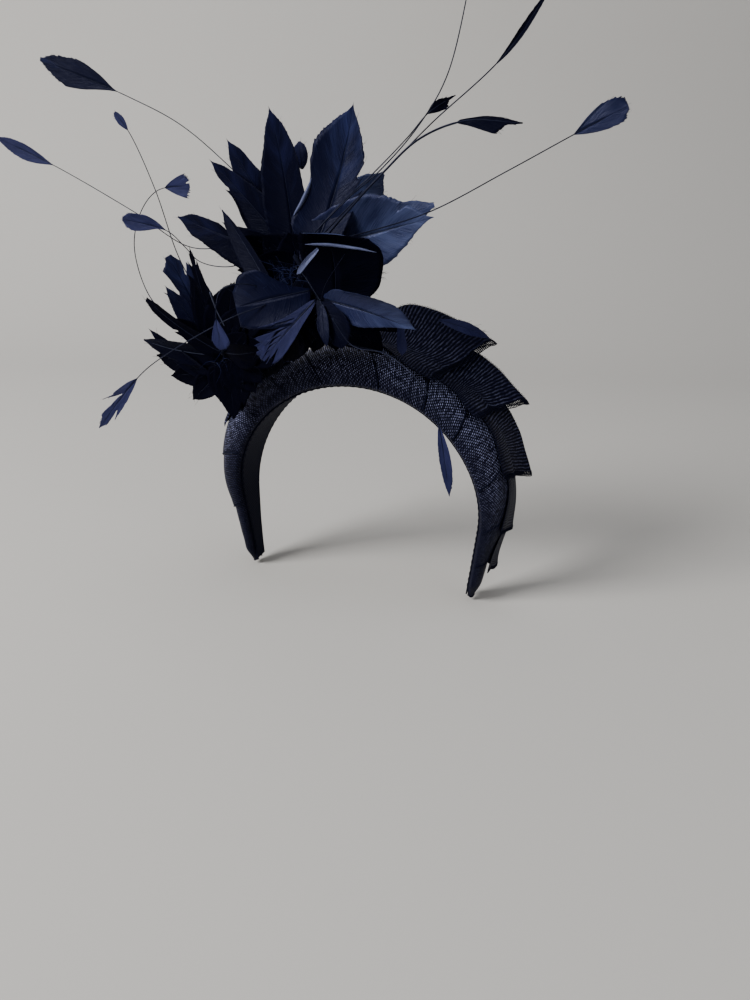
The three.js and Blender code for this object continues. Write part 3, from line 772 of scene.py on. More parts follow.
class Vane:
    """The two webs of a feather: barbs that sweep forward from the shaft to the outline, split in places.

    left and right are the half-widths at even shares of the length, seen with the tip up.
    """

    def __init__(self, place, length, left, right, seed, barbs=64, rows=8, splits=(), ragged=0.02,
                 sweep=(80, 24)):
        self.place, self.length, self.widths = place, length, {-1: left, 1: right}
        self.barbs, self.rows, self.splits, self.ragged, self.sweep = barbs, rows, splits, ragged, sweep
        self.rng = random.Random(seed)
        self.ends = []

    def reach(self, start, angle, side):
        """How far a barb goes before it meets the outline."""
        step = self.length / 60
        far = 0.0
        while far < self.length:
            u = (start + (far + step) * math.cos(angle)) / self.length
            if u > 1 or (far + step) * math.sin(angle) > profile(self.widths[side], u):
                break
            far += step
        low, high = far, far + step
        for _ in range(7):
            reach = (low + high) / 2
            u = (start + reach * math.cos(angle)) / self.length
            inside = u <= 1 and reach * math.sin(angle) <= profile(self.widths[side], u)
            low, high = (reach, high) if inside else (low, reach)
        return low

    def build(self):
        verts, faces, uvs = [], [], []
        for side in (-1, 1):
            cuts = {round(t * self.barbs): (depth, gap) for s, t, depth, gap in self.splits if s == side}
            before = None
            for i in range(self.barbs + 1):
                t = i / self.barbs
                start = t * self.length
                angle = math.radians(lerp(*self.sweep, t**0.7))
                reach = self.reach(start, angle - BARB_BOW, side)
                reach *= 1 + self.rng.uniform(-1, 1) * self.ragged
                turn, depth_here = 0.0, 1.0
                for cut, (depth, gap) in cuts.items():
                    near = i - cut
                    if -7 < near < 7:
                        turn += math.radians(gap) * (1 - abs(near + 0.5) / 7) * (1 if near < 0 else -1)
                        depth_here = min(depth_here, depth)
                row = []
                for j in range(self.rows + 1):
                    b = j / self.rows
                    a = angle - BARB_BOW * b + turn * smoothstep(b, depth_here * 0.5, 1.0)
                    row.append(len(verts))
                    verts.append(self.place(start + reach * b * math.cos(a), side * reach * b * math.sin(a)))
                    uvs.append((reach * b, start + side * WEB_OFFSET))
                if reach > 1.5:
                    self.ends.append((verts[row[-2]], verts[row[-1]]))
                if before:
                    depth = cuts.get(i, (2, 0))[0]
                    for j in range(self.rows):
                        if (j + 1) / self.rows > depth:
                            break
                        quad = (before[j], row[j], row[j + 1], before[j + 1])
                        faces.append(quad if side > 0 else quad[::-1])
                before = row
        return verts, faces, uvs


def thicken(piece, thickness):
    modifier = piece.modifiers.new("thickness", "SOLIDIFY")
    modifier.thickness = thickness * MM
    modifier.offset = 0


def hairs(name, ends, number, seed, body, length=(1.0, 3.2)):
    """Loose barbs that stand past a feather's edge."""
    rng = random.Random(seed)
    parts = []
    for _ in range(min(number, len(ends))):
        inner, outer = ends[rng.randrange(len(ends))]
        way = (outer - inner).normalized()
        stray = Vector((rng.uniform(-1, 1), rng.uniform(-1, 1), rng.uniform(-1, 1)))
        long = rng.uniform(*length)
        half_way = outer + (way + stray * 0.15) * long * 0.5
        line = [outer - way * 0.5, half_way, outer + (way + stray * 0.4) * long]
        parts.append(tube(line, lambda t: lerp(0.07, 0.03, t), 4))
    make_joined(name, parts, SHAFT, body)


def rolled(x, z, limit, radius, most=2.6):
    """Carries what is past a limit round a cylinder, for an edge that curls over."""
    over = x - limit
    if over <= 0:
        return x, z
    a = min(over / radius, most)
    rest = over - a * radius
    x = limit + radius * math.sin(a) + rest * math.cos(a)
    return x, z + radius * (1 - math.cos(a)) + rest * math.sin(a)


def blade(name, root, tip, left, right, kind, body="root", *, roll=0, bend=0, cup=2, vee=0, sway=0, seed=1,
          ripple=0.5, shaft=0.45, shaft_material=None, rim=None, lip=None, replaces=(), edge_hairs=7, **vane):
    """A trimmed feather from its root to its tip, with its shaft.

    bend bows it forward and sway sideways, and cup and vee raise its edges. rim is an edge that curls over:
    its side, the shares of the length that it starts and ends at, its depth and its radius. lip is a thick
    edge in a lighter kind of feather, a painted highlight where a curled rim catches the light: its radius,
    its kind of feather, its side, or 0 for the tip, and where it starts and ends.
    """
    root, tip = Vector(root), Vector(tip)
    length = (tip - root).length
    along, face, side = blade_axes(root, tip, roll)
    half = max(max(left), max(right))
    hollow = max(2 * cup / half**2, 1e-4)

    def centre(u):
        arch = 4 * u * (1 - u)
        return root + along * (u * length) + face * (bend * arch) + side * (sway * arch)

    def place(p, q):
        u = p / length
        share = min(abs(q) / half, 1)
        wave = ripple * wander(u * 3.1, q * 0.09, seed * 3.7) * share**1.5
        wave += 0.2 * wander(u * 9, q * 0.3, seed * 3.7 + 5) * share
        x, z = math.sin(hollow * abs(q)) / hollow, (1 - math.cos(hollow * q)) / hollow + vee * share
        if rim and math.copysign(1, q) == rim[0]:
            edge = profile(right if q > 0 else left, u)
            _, begin, end, most, radius = rim
            depth = most * smoothstep(u, begin - 0.08, begin + 0.05) * smoothstep(-u, -end - 0.05,
                                                                                  -end + 0.08)
            x, z = rolled(x, z, max(edge - depth, 0.5), radius)
        return centre(u) + side * math.copysign(x, q) + face * (z + wave)

    web = Vane(place, length, left, right, seed, **vane)
    v, f, u = web.build()
    piece = make_piece(name, v, f, FEATHER[kind], body, u, replaces)
    thicken(piece, 0.12)
    line = [centre(t * 0.97) - face * 0.05 for t in steps(30)]
    spine = tube(line, lambda t: lerp(shaft, 0.10, t**0.8), 6)
    make_joined(f"{name}_shaft", [spine], shaft_material or SHAFT, body)
    # A lip in a lighter kind of feather is a painted highlight: the light caught by a curled rim.
    if lip:
        thick, lip_kind, way, begin, end = lip
        edge = []
        for t in steps(40):
            at = lerp(begin, end, t)
            if way:
                edge.append(place(length * at, way * 0.97 * profile(right if way > 0 else left, at)))
            else:
                edge.append(place(length * (1 - 0.02 * abs(at)), at * (right[-1] if at > 0 else left[-1])))
        bead = tube(edge, lambda t: thick * math.sin(math.pi * lerp(0.04, 0.96, t)) ** 0.7, 8)
        make_joined(f"{name}_lip", [bead], FEATHER[lip_kind], body)
    if edge_hairs:
        hairs(f"{name}_hairs", web.ends, edge_hairs, seed + 900, body)


LARGE_STEM = Route([(-38, -8, 67), (-31, -26, 69), (-24, -42, 70), (-6, -54, 52)])
SMALL_STEM = Route([(-85, -12, 4), (-78, -24, 12), (-67, -44, 19)])
ROOT_GAP = 2.0
PETAL_STRETCH = 1.012

# The petals of the large flower: the share of the stem that each grows from, its tip, and its half-widths
# from root to tip on its left and right, seen with the tip up.
LARGE_PETALS = [
    dict(name="petal_right", at=0.36, tip=(44.5, -36, 91), kind="satin", roll=8, bend=-2, cup=2.5, vee=1.5,
         left=[8, 13, 16, 18, 19, 18.6, 15, 7.5, 0.5], right=[8, 12, 14.5, 16, 16.2, 15, 10.4, 3.8, 0],
         splits=[(-1, 0.62, 0.75, 3)], shaft_material="pale", shaft=0.4),
    dict(name="petal_top_broad", at=0.72, root=(-17.2, -43.7, 66.4), tip=(1.3, -29, 140.6), kind="steel",
         roll=-6,
         bend=-6, cup=3, sway=0.8,
         left=[5, 10, 17, 15, 14, 16.4, 16.2, 9.2, 0], right=[8, 10, 12, 13, 13.6, 13.6, 10.4, 5.4, 0],
         lip=(1.15, "pale", -1, 0.27, 0.52), splits=[(1, 0.44, 0.8, 5), (1, 0.38, 0.7, 6)], shaft=0.55,
         barbs=84),
    dict(name="petal_top", at=0.2, tip=(-46, -22, 140), kind="navy", roll=-8, bend=-2, cup=2.5, sway=1.0,
         vee=1,
         left=[8, 12, 14, 14.4, 13.4, 11.8, 8.4, 4.6, 0], right=[8, 10, 11, 11.4, 11.2, 10.8, 9, 5.3, 0]),
    dict(name="petal_top_left", at=0.12, tip=(-84, -16, 115.5), kind="navy", bend=-2, cup=2, roll=-6,
         left=[14, 14.5, 12.8, 11.6, 9.6, 6.4, 4.6, 3.2, 0], right=[6, 9, 11, 11, 10, 8, 6, 3.6, 0],
         splits=[(-1, 0.66, 0.75, 5)], rim=(-1, 0.3, 0.75, 1.6, 0.8)),
    dict(name="petal_top_back", at=0.04, tip=(-77, -9, 126), kind="navy", bend=-1, cup=1,
         left=[7, 9, 10, 10.5, 10, 9, 7, 4.2, 0], right=[7, 9, 10, 10.5, 9.5, 7.6, 5.6, 3.8, 0]),
    dict(name="petal_upper_right", at=0.06, tip=(11, -10, 110.5), kind="satin", roll=4, bend=-1, cup=2,
         sweep=(80, 34),
         left=[8, 10, 11, 11.5, 11, 10, 8.4, 6, 1], right=[8, 10, 12, 13, 13.5, 13, 12, 9.6, 1.5]),
    dict(name="petal_left_front", at=0.34, root=(-36.5, -48, 56), tip=(-66, -38, 91), kind="navy", roll=-6,
         left=[8, 8.2, 8, 7.8, 7.2, 6.2, 5, 3.4, 0.6], right=[3, 3.4, 3.4, 3.2, 3, 2.6, 2, 1.2, 0.2],
         cup=1.5, bend=-1),
    dict(name="petal_left", at=0.24, tip=(-99, -26, 87), kind="navy", roll=-10, bend=2, cup=1.5, sway=-1,
         left=[14, 15, 15, 14.5, 12.6, 10.5, 8, 6, 1], right=[5, 7, 8, 8, 7, 6, 5.4, 4.4, 0],
         splits=[(1, 0.5, 0.6, 4)]),
    dict(name="petal_lower_left", at=0.9, tip=(-50.5, -57, 45.5), kind="steel", roll=6, bend=3, cup=2, vee=-1,
         left=[6, 10, 13, 14.6, 14.6, 14, 13, 12, 10], right=[1, 2.5, 4.5, 8, 12.5, 15.5, 15.5, 14, 8],
         ragged=0.006, sweep=(88, 46)),
    # Black here is painted shade: the shaded inside of the cupped petal. Its pale lip is a painted highlight on
    # its lit rim.
    dict(name="petal_front_cup", at=0.97, root=(2, -55, 51), tip=(2.9, -64, 78.2), kind="black", bend=-4,
         cup=3.5, barbs=90,
         left=[8, 11, 13, 14.5, 15.5, 16, 16.2, 16, 14.5],
         right=[12, 17, 21, 23.4, 24.4, 25, 25.4, 25.6, 23.6],
         lip=(0.75, "pale", 0, -0.85, 1), ragged=0.004, sweep=(96, 62)),
    dict(name="petal_front_right", at=0.99, tip=(45, -60, 41.5), kind="satin", roll=14, bend=4, cup=1.5,
         vee=2, sway=-3,
         left=[3, 7, 8.5, 9.6, 10, 10.4, 10, 6.6, 0], right=[3, 5, 6.8, 7.8, 7.4, 5.6, 3.4, 1.6, 0],
         rim=(-1, 0.25, 0.8, 1.4, 0.8)),
    dict(name="petal_front_down", at=0.95, tip=(9, -60, 31), kind="navy", bend=2, cup=2, vee=1,
         left=[3, 4.5, 5.8, 7, 9, 10, 9.6, 7.6, 2.6], right=[2, 3, 4, 4.6, 5, 5, 4.8, 4.2, 2.4],
         splits=[(1, 0.5, 0.6, 6)]),
    dict(name="petal_front_split", at=0.97, tip=(-35, -60, 20.5), kind="blue", bend=2, cup=1,
         left=[1, 2.2, 3.2, 4.2, 5.4, 6.2, 6.6, 6.2, 3.6], right=[1, 2.2, 3.4, 4.8, 6.4, 7.8, 8, 7, 3.8],
         splits=[(1, 0.28, 0.22, 13), (1, 0.42, 0.22, 12), (1, 0.55, 0.22, 12), (1, 0.67, 0.22, 10),
                 (1, 0.8, 0.25, 8), (-1, 0.62, 0.4, 6), (-1, 0.8, 0.5, 5)], sweep=(40, 16), edge_hairs=16),
]

SMALL_PETALS = [
    dict(name="petal_front", at=0.9, tip=(-44, -46, 22), kind="black", roll=30, bend=2, cup=2,
         left=[3, 6, 8, 9, 9, 8.4, 7, 4.6, 1], right=[3, 6, 8, 9, 9.4, 9, 7.6, 5, 1]),
    dict(name="petal_dark", at=0.75, tip=(-113, -42, 44), kind="black", roll=-16, bend=3, cup=1.5,
         left=[5, 5.6, 5.2, 4.8, 4.2, 3.8, 3.6, 3.2, 1.8], right=[5, 6, 6, 5.4, 4.6, 4, 3.6, 2.8, 1.2],
         splits=[(-1, 0.3, 0.5, 6), (-1, 0.45, 0.6, 4)], edge_hairs=12),
    dict(name="petal_inner", at=0.62, tip=(-60, -40, 56), kind="black", bend=2, cup=2, shaft_material="pale",
         left=[5, 9, 11.5, 13, 13, 11.6, 9, 5.4, 0], right=[5, 8, 10, 11, 11, 10, 8, 4.8, 0]),
    dict(name="petal_top", at=0.5, tip=(-88, -36, 72), kind="black", roll=-16, bend=1, cup=2,
         left=[6, 9, 10.5, 10.6, 9.4, 7.4, 5.2, 3.2, 0], right=[5, 7, 8, 8, 7.2, 5.8, 4.2, 2.4, 0],
         splits=[(-1, 0.66, 0.5, 12), (-1, 0.78, 0.5, 9), (1, 0.8, 0.6, 5)], edge_hairs=14),
    dict(name="petal_low", at=0.44, tip=(-121, -36, 20), kind="navy", roll=-24, bend=3, cup=2,
         shaft_material="pale",
         left=[5, 7, 8, 8.2, 7.6, 6.4, 5, 3.2, 0.6], right=[5, 7, 8, 8.2, 7.8, 6.8, 5.4, 3.4, 0.8]),
    dict(name="petal_outer", at=0.34, tip=(-110, -28, 50), kind="steel", roll=10, bend=-1, cup=2,
         left=[6, 8, 9, 9, 8.2, 6.8, 5, 2.8, 0], right=[6, 8.6, 10, 10, 8.8, 6.6, 4, 2, 0],
         splits=[(1, 0.5, 0.6, 8)]),
    dict(name="petal_back", at=0.18, tip=(-111, -20, 65), kind="steel", roll=4, bend=-2, cup=2,
         left=[6, 9, 11, 12, 12, 11.4, 10.4, 9, 2.5], right=[6, 9, 11.6, 13, 13.6, 13, 11, 7.6, 2],
         splits=[(-1, 0.56, 0.55, 15), (1, 0.7, 0.6, 6)]),
    dict(name="petal_lowest", at=0.12, tip=(-124, -20, 8), kind="black", roll=8, bend=-2, cup=3,
         shaft_material="pale", left=[6, 9, 11, 12, 11.6, 10, 7.6, 4.6, 0.5],
         right=[6, 8, 9.6, 10, 9.4, 8, 6, 3.6, 0.5],
         edge_hairs=12),
]


def flower(prefix, stem, petals):
    for i, petal in enumerate(petals):
        p = dict(petal)
        name = f"{prefix}_{p.pop('name')}"
        start = stem.at(p.pop("at"))
        tip = Vector(p.pop("tip"))
        root = start + (tip - start).normalized() * ROOT_GAP
        if "root" in p:
            root = Vector(p.pop("root"))
            loose_stem(f"{name}_foot", [start, start.lerp(root, 0.5) + Vector((0, 2, 0)), root], 0.4)
        tip = root + (tip - root) * PETAL_STRETCH
        p["left"], p["right"] = ([w * PETAL_STRETCH for w in p[key]] for key in ("left", "right"))
        if p.pop("shaft_material", None):
            p["shaft_material"] = PALE_SHAFT
        blade(f"{name}_feather", root, tip, p.pop("left"), p.pop("right"), p.pop("kind"), seed=50 + i * 7,
              replaces=[name], **p)


def loose_stem(name, points, radius, material=None):
    line = Route(points)
    make_joined(name, [tube([line.at(t) for t in steps(28)], lambda t: radius * (1 - 0.5 * t), 5)],
                material or SHAFT)


# Black feathers packed in the heart of each flower, partly real and partly painted shade that stands in for the
# dark there: where each starts and ends, and its half-width.
INNER_FEATHERS = [
    ((-30, -24, 68), (-64, -34, 76), 8), ((-24, -40, 66), (-42, -48, 70), 6),
    ((-28, -30, 66), (-58, -40, 62), 9), ((-20, -36, 62), (-4, -34, 76), 9),
    ((-22, -40, 66), (-27, -44, 82), 11), ((-26, -36, 62), (-44, -46, 50), 9),
    ((-18, -50, 60), (14, -50, 58), 11), ((-24, -36, 62), (-14, -38, 82), 11),
    ((-32, -20, 66), (-66, -24, 70), 9), ((-12, -50, 54), (-24, -54, 38), 8),
    ((-10, -50, 52), (20, -48, 48), 8), ((-30, -20, 64), (-60, -28, 50), 9),
    ((-26, -34, 60), (-56, -40, 44), 9), ((-22, -42, 62), (-36, -48, 40), 9),
    ((-18, -46, 58), (-8, -50, 34), 9), ((-16, -40, 56), (-24, -38, 25), 9),
    ((-12, -42, 54), (-12, -38, 26), 9), ((-10, -42, 54), (4, -36, 28), 9),
    ((-8, -42, 54), (19, -34, 32), 9), ((-6, -42, 54), (31, -30, 35), 8),
    ((-26, -34, 64), (-44, -38, 80), 10), ((-22, -34, 54), (-37, -17, 11), 11),
    ((-18, -34, 52), (-25, -16, 17), 12), ((-14, -34, 50), (-12, -14, 18.5), 11),
    ((-10, -34, 50), (2, -14, 20), 12), ((-8, -34, 50), (15, -14, 18.5), 11),
    ((-24, -40, 34), (-45, -22, 13), 10), ((-36, -42, 26), (-53, -28, 4), 9),
]
SMALL_INNER_FEATHERS = [
    ((-72, -36, 16), (-84, -40, 52), 8), ((-72, -34, 16), (-102, -38, 34), 7),
    ((-70, -38, 18), (-56, -42, 44), 9), ((-78, -26, 8), (-104, -30, 10), 8),
    ((-70, -38, 16), (-52, -44, 30), 7), ((-74, -32, 12), (-64, -36, 36), 9),
    ((-82, -20, 2), (-112, -26, -2), 8), ((-80, -24, 4), (-96, -30, -14), 8),
    ((-76, -28, 8), (-56, -38, 4), 8), ((-66, -38, 24), (-26, -42, 36), 8),
    ((-68, -34, 20), (-32, -36, 26), 8), ((-66, -38, 26), (-38, -44, 46), 8),
    ((-70, -30, 14), (-44, -34, 14), 8), ((-68, -38, 24), (-60, -44, 56), 8),
    ((-74, -26, 10), (-62, -28, -6), 8), ((-72, -34, 16), (-74, -42, 50), 8),
    ((-66, -30, 28), (-20, -34, 38), 7), ((-72, -32, 12), (-69, -31, -23), 9),
    ((-66, -36, 14), (-60, -35, -12), 9), ((-62, -40, 18), (-46, -40, 3), 9),
    ((-60, -42, 24), (-36, -44, 14), 8), ((-76, -28, 8), (-79, -28, -14), 9),
    ((-70, -32, 10), (-64, -30, -18), 8), ((-66, -36, 14), (-52, -36, -4), 9),
]
FILLER_SHAPE = (0.6, 0.85, 1, 1.05, 1, 0.88, 0.68, 0.4, 0.04)


def fillers(prefix, table, seed):
    for i, (root, tip, half) in enumerate(table):
        widths = [half * w for w in FILLER_SHAPE]
        # Black: partly painted shade, standing in for the dark of the flowers' hearts.
        blade(f"{prefix}_{i + 1}", root, tip, widths, widths, "black", cup=1.6, bend=-1, seed=seed + i,
              shaft=0.25, edge_hairs=5, barbs=40, rows=6)


def trimmings():
    """The small feathers, stray stems and down that fill the flowers."""
    blade("sliver_feather", (-4, -57, 50), (1, -63, 30), [0.8, 1.8, 2.6, 3, 3.2, 3, 2.4, 1.4, 0],
          [0.8, 1.8, 2.6, 3.2, 3.4, 3, 2.2, 1.2, 0], "steel", cup=0.8, bend=1, seed=401, shaft=0.2)
    blade("round_feather", (-33, -10, 112), (-35.5, -8, 125.5), [0.8, 2.4, 3.7, 4.3, 4.5, 4.3, 3.7, 2.6, 0.8],
          [0.8, 2.4, 3.7, 4.3, 4.5, 4.3, 3.7, 2.6, 0.8], "blue", cup=1, seed=402, shaft=0.25)
    blade("hanging_feather", (30.5, -36, 42), (32.7, -38, 24), [1.6, 1.8, 2, 2.2, 2.6, 3, 3.1, 2.4, 0],
          [1.4, 1.6, 1.8, 2, 2.2, 2.4, 2.4, 1.6, 0], "blue", cup=0.6, seed=403, shaft=0.15)
    blade("stub_feather", (6, -42, 62), (21.5, -41, 63.5), [1, 1.6, 2, 2.4, 2.8, 3, 2.8, 2.2, 1.2],
          [1, 1.8, 2.4, 2.8, 3, 2.8, 2.4, 1.8, 1], "steel", cup=0.8, seed=404, shaft=0.2, edge_hairs=22)
    blade("curled_feather", (-1.5, -68, 77), (-12, -69, 65), [0.8, 1.4, 1.8, 2, 2.2, 2.2, 2, 1.6, 0.4],
          [0.6, 0.8, 1, 1.2, 1.2, 1.2, 1, 0.8, 0.2], "pale", cup=1.4, bend=1.5, seed=405, shaft=0.2)
    blade("loop_feather", (42, 1.5, 37.5), (71, 6.5, 28.5), [0.6, 1.6, 2.6, 3.2, 3.4, 3, 2.4, 1.4, 0],
          [0.6, 1.4, 2.4, 3, 3.2, 3, 2.2, 1.2, 0], "blue", cup=0.8, bend=3.5, roll=-24, seed=406, shaft=0.2,
          edge_hairs=14)
    blade("side_feather", (-86, -24, -2), (-118, -36, 27), [3, 4.6, 5.4, 5.6, 5.2, 4.4, 3.4, 2, 0],
          [3, 4.6, 5.4, 5.6, 5.2, 4.4, 3.4, 2, 0], "navy", cup=1, roll=-10, bend=2, seed=408, shaft=0.3)
    blade("right_back_feather", (-16, -28, 74), (42.5, -24, 96.7), [6, 7, 7.6, 8, 8, 7.6, 6.8, 5, 1.5],
          [6, 7, 7.6, 8, 8, 7.6, 6.4, 4.4, 1], "satin", cup=1, seed=409, shaft=0.3, sweep=(70, 36))
    # A black feather as painted shade: the shaded petal behind the cup. Its lip, in the lighter glossy kind, is
    # a painted highlight on its lit rim.
    blade("cup_back_feather", (2.5, -52, 54), (4, -59, 83), [8, 11, 13, 15, 17, 18.5, 19.5, 19.5, 18],
          [11, 16, 20, 22.4, 23.4, 23.8, 23.6, 22, 17], "black", cup=3, bend=-3, seed=410, shaft=0.3,
          sweep=(96, 62),
          ragged=0.004, barbs=90, lip=(0.28, "satin", 0, -1, 0.3), edge_hairs=0)
    fillers("inner_feather", INNER_FEATHERS, 420)
    fillers("small_inner_feather", SMALL_INNER_FEATHERS, 440)
    loose_stem("stray_stem_1", [(-5, -56, 52), (0, -63, 60), (6, -66, 68), (11, -66, 75)], 0.16)
    loose_stem("stray_stem_2", [(-5, -57, 52), (-6, -64, 58), (-9, -67, 64), (-13, -68, 68)], 0.18,
               PALE_SHAFT)
    loose_stem("stray_stem_3", [(6, -45, 29), (22, -34, 24), (38, -27, 17), (52, -23, 8)], 0.2)
    loose_stem("stray_stem_4", [(-66, -56, 52), (-66, -50, 42), (-63, -48, 34)], 0.45, PALE_SHAFT)
    down("throat_down", (-25, -50, 61), 46, 501)
    down("small_down", (-74, -34, 14), 16, 502)


def down(name, centre, number, seed):
    """Fluffy barbs at the roots of the petals."""
    rng = random.Random(seed)
    parts = []
    for _ in range(number):
        way = Vector((rng.gauss(0, 1), -abs(rng.gauss(0.5, 0.5)), rng.gauss(0, 1))).normalized()
        start = Vector(centre) + Vector((rng.uniform(-6, 6), rng.uniform(-3, 3), rng.uniform(-6, 6)))
        bow = Vector((rng.uniform(-1, 1), rng.uniform(-1, 1), rng.uniform(-1, 1))) * 2.5
        long = rng.uniform(6, 13)
        line = Route([start, start + way * long * 0.5 + bow, start + way * long])
        parts.append(tube([line.at(t) for t in steps(7)], lambda t: lerp(0.16, 0.04, t), 4))
    make_joined(name, parts, FEATHER["steel"])


# ---- Quills ------------------------------------------------------------------------------------------------

QUILLS = [
    dict(name="quill_left_high", body="left_spray", leaf=51, kind="steel",
         left=[0.2, 1.5, 3.2, 5, 7, 8.2, 6.5, 4, 1], right=[0.2, 1.6, 4, 6.2, 7.4, 7, 5.8, 4.2, 1.2],
         route=[(-53, 6, 82), (-64, 5, 96), (-84, 4, 114), (-111, 2, 134), (-142, 0, 148), (-196, -2, 167)]),
    dict(name="quill_left_long", body="left_spray", leaf=40, kind="blue",
         left=[0.2, 1.6, 3.2, 4.6, 5, 4.6, 3.6, 2, 0.4], right=[0.2, 1, 2.2, 3.2, 3.8, 3.8, 3.2, 2, 0.4],
         route=[(-55, 3, 76), (-78, 4, 72), (-111, 4, 69), (-145, 2, 87), (-195, 0, 111), (-234, -3, 127)]),
    dict(name="quill_left_short", body="left_spray", leaf=27, kind="blue",
         left=[0.2, 0.6, 1.4, 2.4, 3.6, 4.7, 5, 4, 1.4], right=[0.2, 1.4, 3, 4.4, 4.9, 4.8, 4.6, 4, 1.4],
         route=[(-54, 0, 71), (-81, -3, 60), (-101, -4, 62), (-109, -6, 70), (-118, -8, 78),
                (-145, -12, 84)]),
    dict(name="quill_low_tall", leaf=12.5, kind="blue",
         left=[0.2, 1, 1.8, 2.2, 2.4, 2.3, 2.1, 1.7, 0.8], right=[0.2, 1.6, 2.6, 3, 3, 2.6, 2.2, 1.8, 0.8],
         route=[(-100, 8, 28), (-112, 9, 44), (-123, 9, 64), (-135, 9, 100), (-149, 9, 130), (-158, 9, 141)]),
    dict(name="quill_low_curled", leaf=19, kind="blue", ragged=0.1, splits=[(-1, 0.62, 0.75, 5)],
         left=[0.2, 2.8, 4.8, 6.4, 7.4, 7.6, 7, 6, 4.4], right=[0.2, 1.8, 3.2, 4.4, 5.4, 6.2, 6.8, 6.8, 3],
         route=[(-100, 5, 23), (-124, 8, 24), (-146, 12, 36), (-157, 15, 65), (-152, 16, 85), (-139, 16, 99),
                (-114, 13, 103)]),
    dict(name="quill_front_left", leaf=38, kind="blue", splits=[(1, 0.3, 0.2, 16), (-1, 0.45, 0.5, 6)],
         ragged=0.1,
         left=[0.2, 1.6, 2.8, 3.6, 4, 4, 3.4, 2.2, 0.3], right=[0.2, 2, 3.4, 4.6, 5, 4.4, 3.4, 2, 0.3],
         route=[(-34, -58, 48), (-49, -63, 42), (-70, -64, 31), (-85, -66, 22), (-101, -70, 10),
                (-128, -76, -22)]),
    dict(name="quill_front_curl", leaf=15.5, kind="blue",
         left=[0.2, 2, 3.6, 5, 5.8, 6, 5.8, 5, 2.4], right=[0.2, 2.6, 4.3, 5, 5, 4.6, 4, 3.2, 1.8],
         route=[(-36, -54, 56), (-46, -63, 58), (-54, -66, 55), (-56, -68, 49), (-56, -69, 40),
                (-53, -70, 26)]),
    dict(name="quill_front_right", leaf=34, kind="blue",
         left=[0.2, 1, 2, 2.8, 3.2, 3.2, 2.8, 1.8, 0.2], right=[0.2, 1.2, 2, 2.4, 2.4, 2.2, 1.8, 1.1, 0.2],
         route=[(4, -64, 45), (15, -66, 33), (34, -74, 32), (50, -82, 25), (61, -88, 15), (66, -90, 2),
                (73, -94, -27)]),
    dict(name="quill_right_tallest", body="right_spray", leaf=16, kind="navy",
         left=[0.2, 0.8, 1.4, 1.8, 2, 1.9, 1.5, 0.9, 0.2], right=[0.2, 0.8, 1.4, 1.8, 2, 1.9, 1.5, 0.9, 0.2],
         route=[(-12, -45, 83), (4, -45, 98), (21, -44, 112), (38, -42, 131), (49, -39, 151),
                (58, -37, 196)]),
    dict(name="quill_right_high", body="right_spray", leaf=31, kind="navy",
         left=[0.3, 0.7, 1.1, 1.4, 1.6, 1.5, 1.2, 0.8, 0.2],
         right=[0.3, 0.7, 1.1, 1.4, 1.6, 1.5, 1.2, 0.8, 0.2],
         route=[(-9, -45, 81), (6, -47, 95), (23, -49, 110), (46, -54, 130), (78, -66, 154), (94, -72, 174)]),
    dict(name="quill_right_small", body="right_spray", leaf=15, kind="black", ragged=0.08,
         left=[1.2, 2.2, 2.6, 2.4, 2.2, 1.8, 1, 0.6, 0.2], right=[1.2, 1.6, 2, 2.6, 3, 3.2, 0.8, 0.4, 0.2],
         route=[(-17, -42, 79), (0, -42, 96), (17, -41, 111), (32, -39, 126), (41, -38, 136),
                (53, -38, 143)]),
    dict(name="quill_right_forked", body="right_spray", leaf=29, kind="navy", thick=1.7,
         left=[0.9, 0.9, 1, 1.4, 1.6, 1.6, 1.3, 0.8, 0.3], right=[0.9, 1.5, 2.6, 3.7, 4.6, 5, 1.5, 0.8, 0.3],
         route=[(-6, -49, 80), (9, -52, 95), (25, -55, 110), (42, -57, 124), (62, -58, 131), (87, -60, 130)]),
    dict(name="quill_right_long", body="right_spray", leaf=24, kind="satin",
         left=[0.2, 1.3, 2.8, 4.2, 5.4, 6, 5.7, 5.2, 3.7],
         right=[0.2, 1.3, 2.4, 3.5, 4.3, 4.7, 4.9, 4.5, 1.6],
         route=[(1, -54, 80), (16, -52, 84), (46, -48, 94), (80, -45, 112), (109, -43, 128),
                (128, -42, 138)]),
]
STEM_RADIUS = 0.3


def quill(seed, name, route, leaf, left, right, kind, body="root", thick=1.0, **vane):
    curve = Route(route)
    stem_share = 1 - leaf / curve.length
    hollow = 2 * 0.7 / max(max(left), max(right)) ** 2

    def place(p, q):
        share = stem_share + p / curve.length
        centre = curve.at(min(share, 1))
        _, face, side = blade_axes(centre, centre + curve.tangent(min(share, 0.985)), 0)
        z = (1 - math.cos(hollow * q)) / hollow + 0.25 * wander(p * 0.15, q * 0.3, seed)
        return centre + side * (math.sin(hollow * q) / hollow) + face * z

    web = Vane(place, leaf, left, right, seed, barbs=46, rows=6, sweep=(34, 18), **{"ragged": 0.04, **vane})
    v, f, u = web.build()
    piece = make_piece(f"{name}_vane", v, f, FEATHER[kind], body, u, [name])
    thicken(piece, 0.1)

    def radius(t):
        taper_in = 1.1 - 0.25 * t if t < stem_share else 0.8 * (1.05 - t) / (1.05 - stem_share)
        return STEM_RADIUS * thick * taper_in

    make_joined(f"{name}_stem", [tube([curve.at(t) for t in steps(70)], radius, 6)], SHAFT, body)
    hairs(f"{name}_hairs", web.ends, 5, seed + 50, body, (0.6, 1.6))


def quills():
    for i, entry in enumerate(QUILLS):
        quill(300 + i, **entry)


# ---- Stalks, bindings and base -----------------------------------------------------------------------------


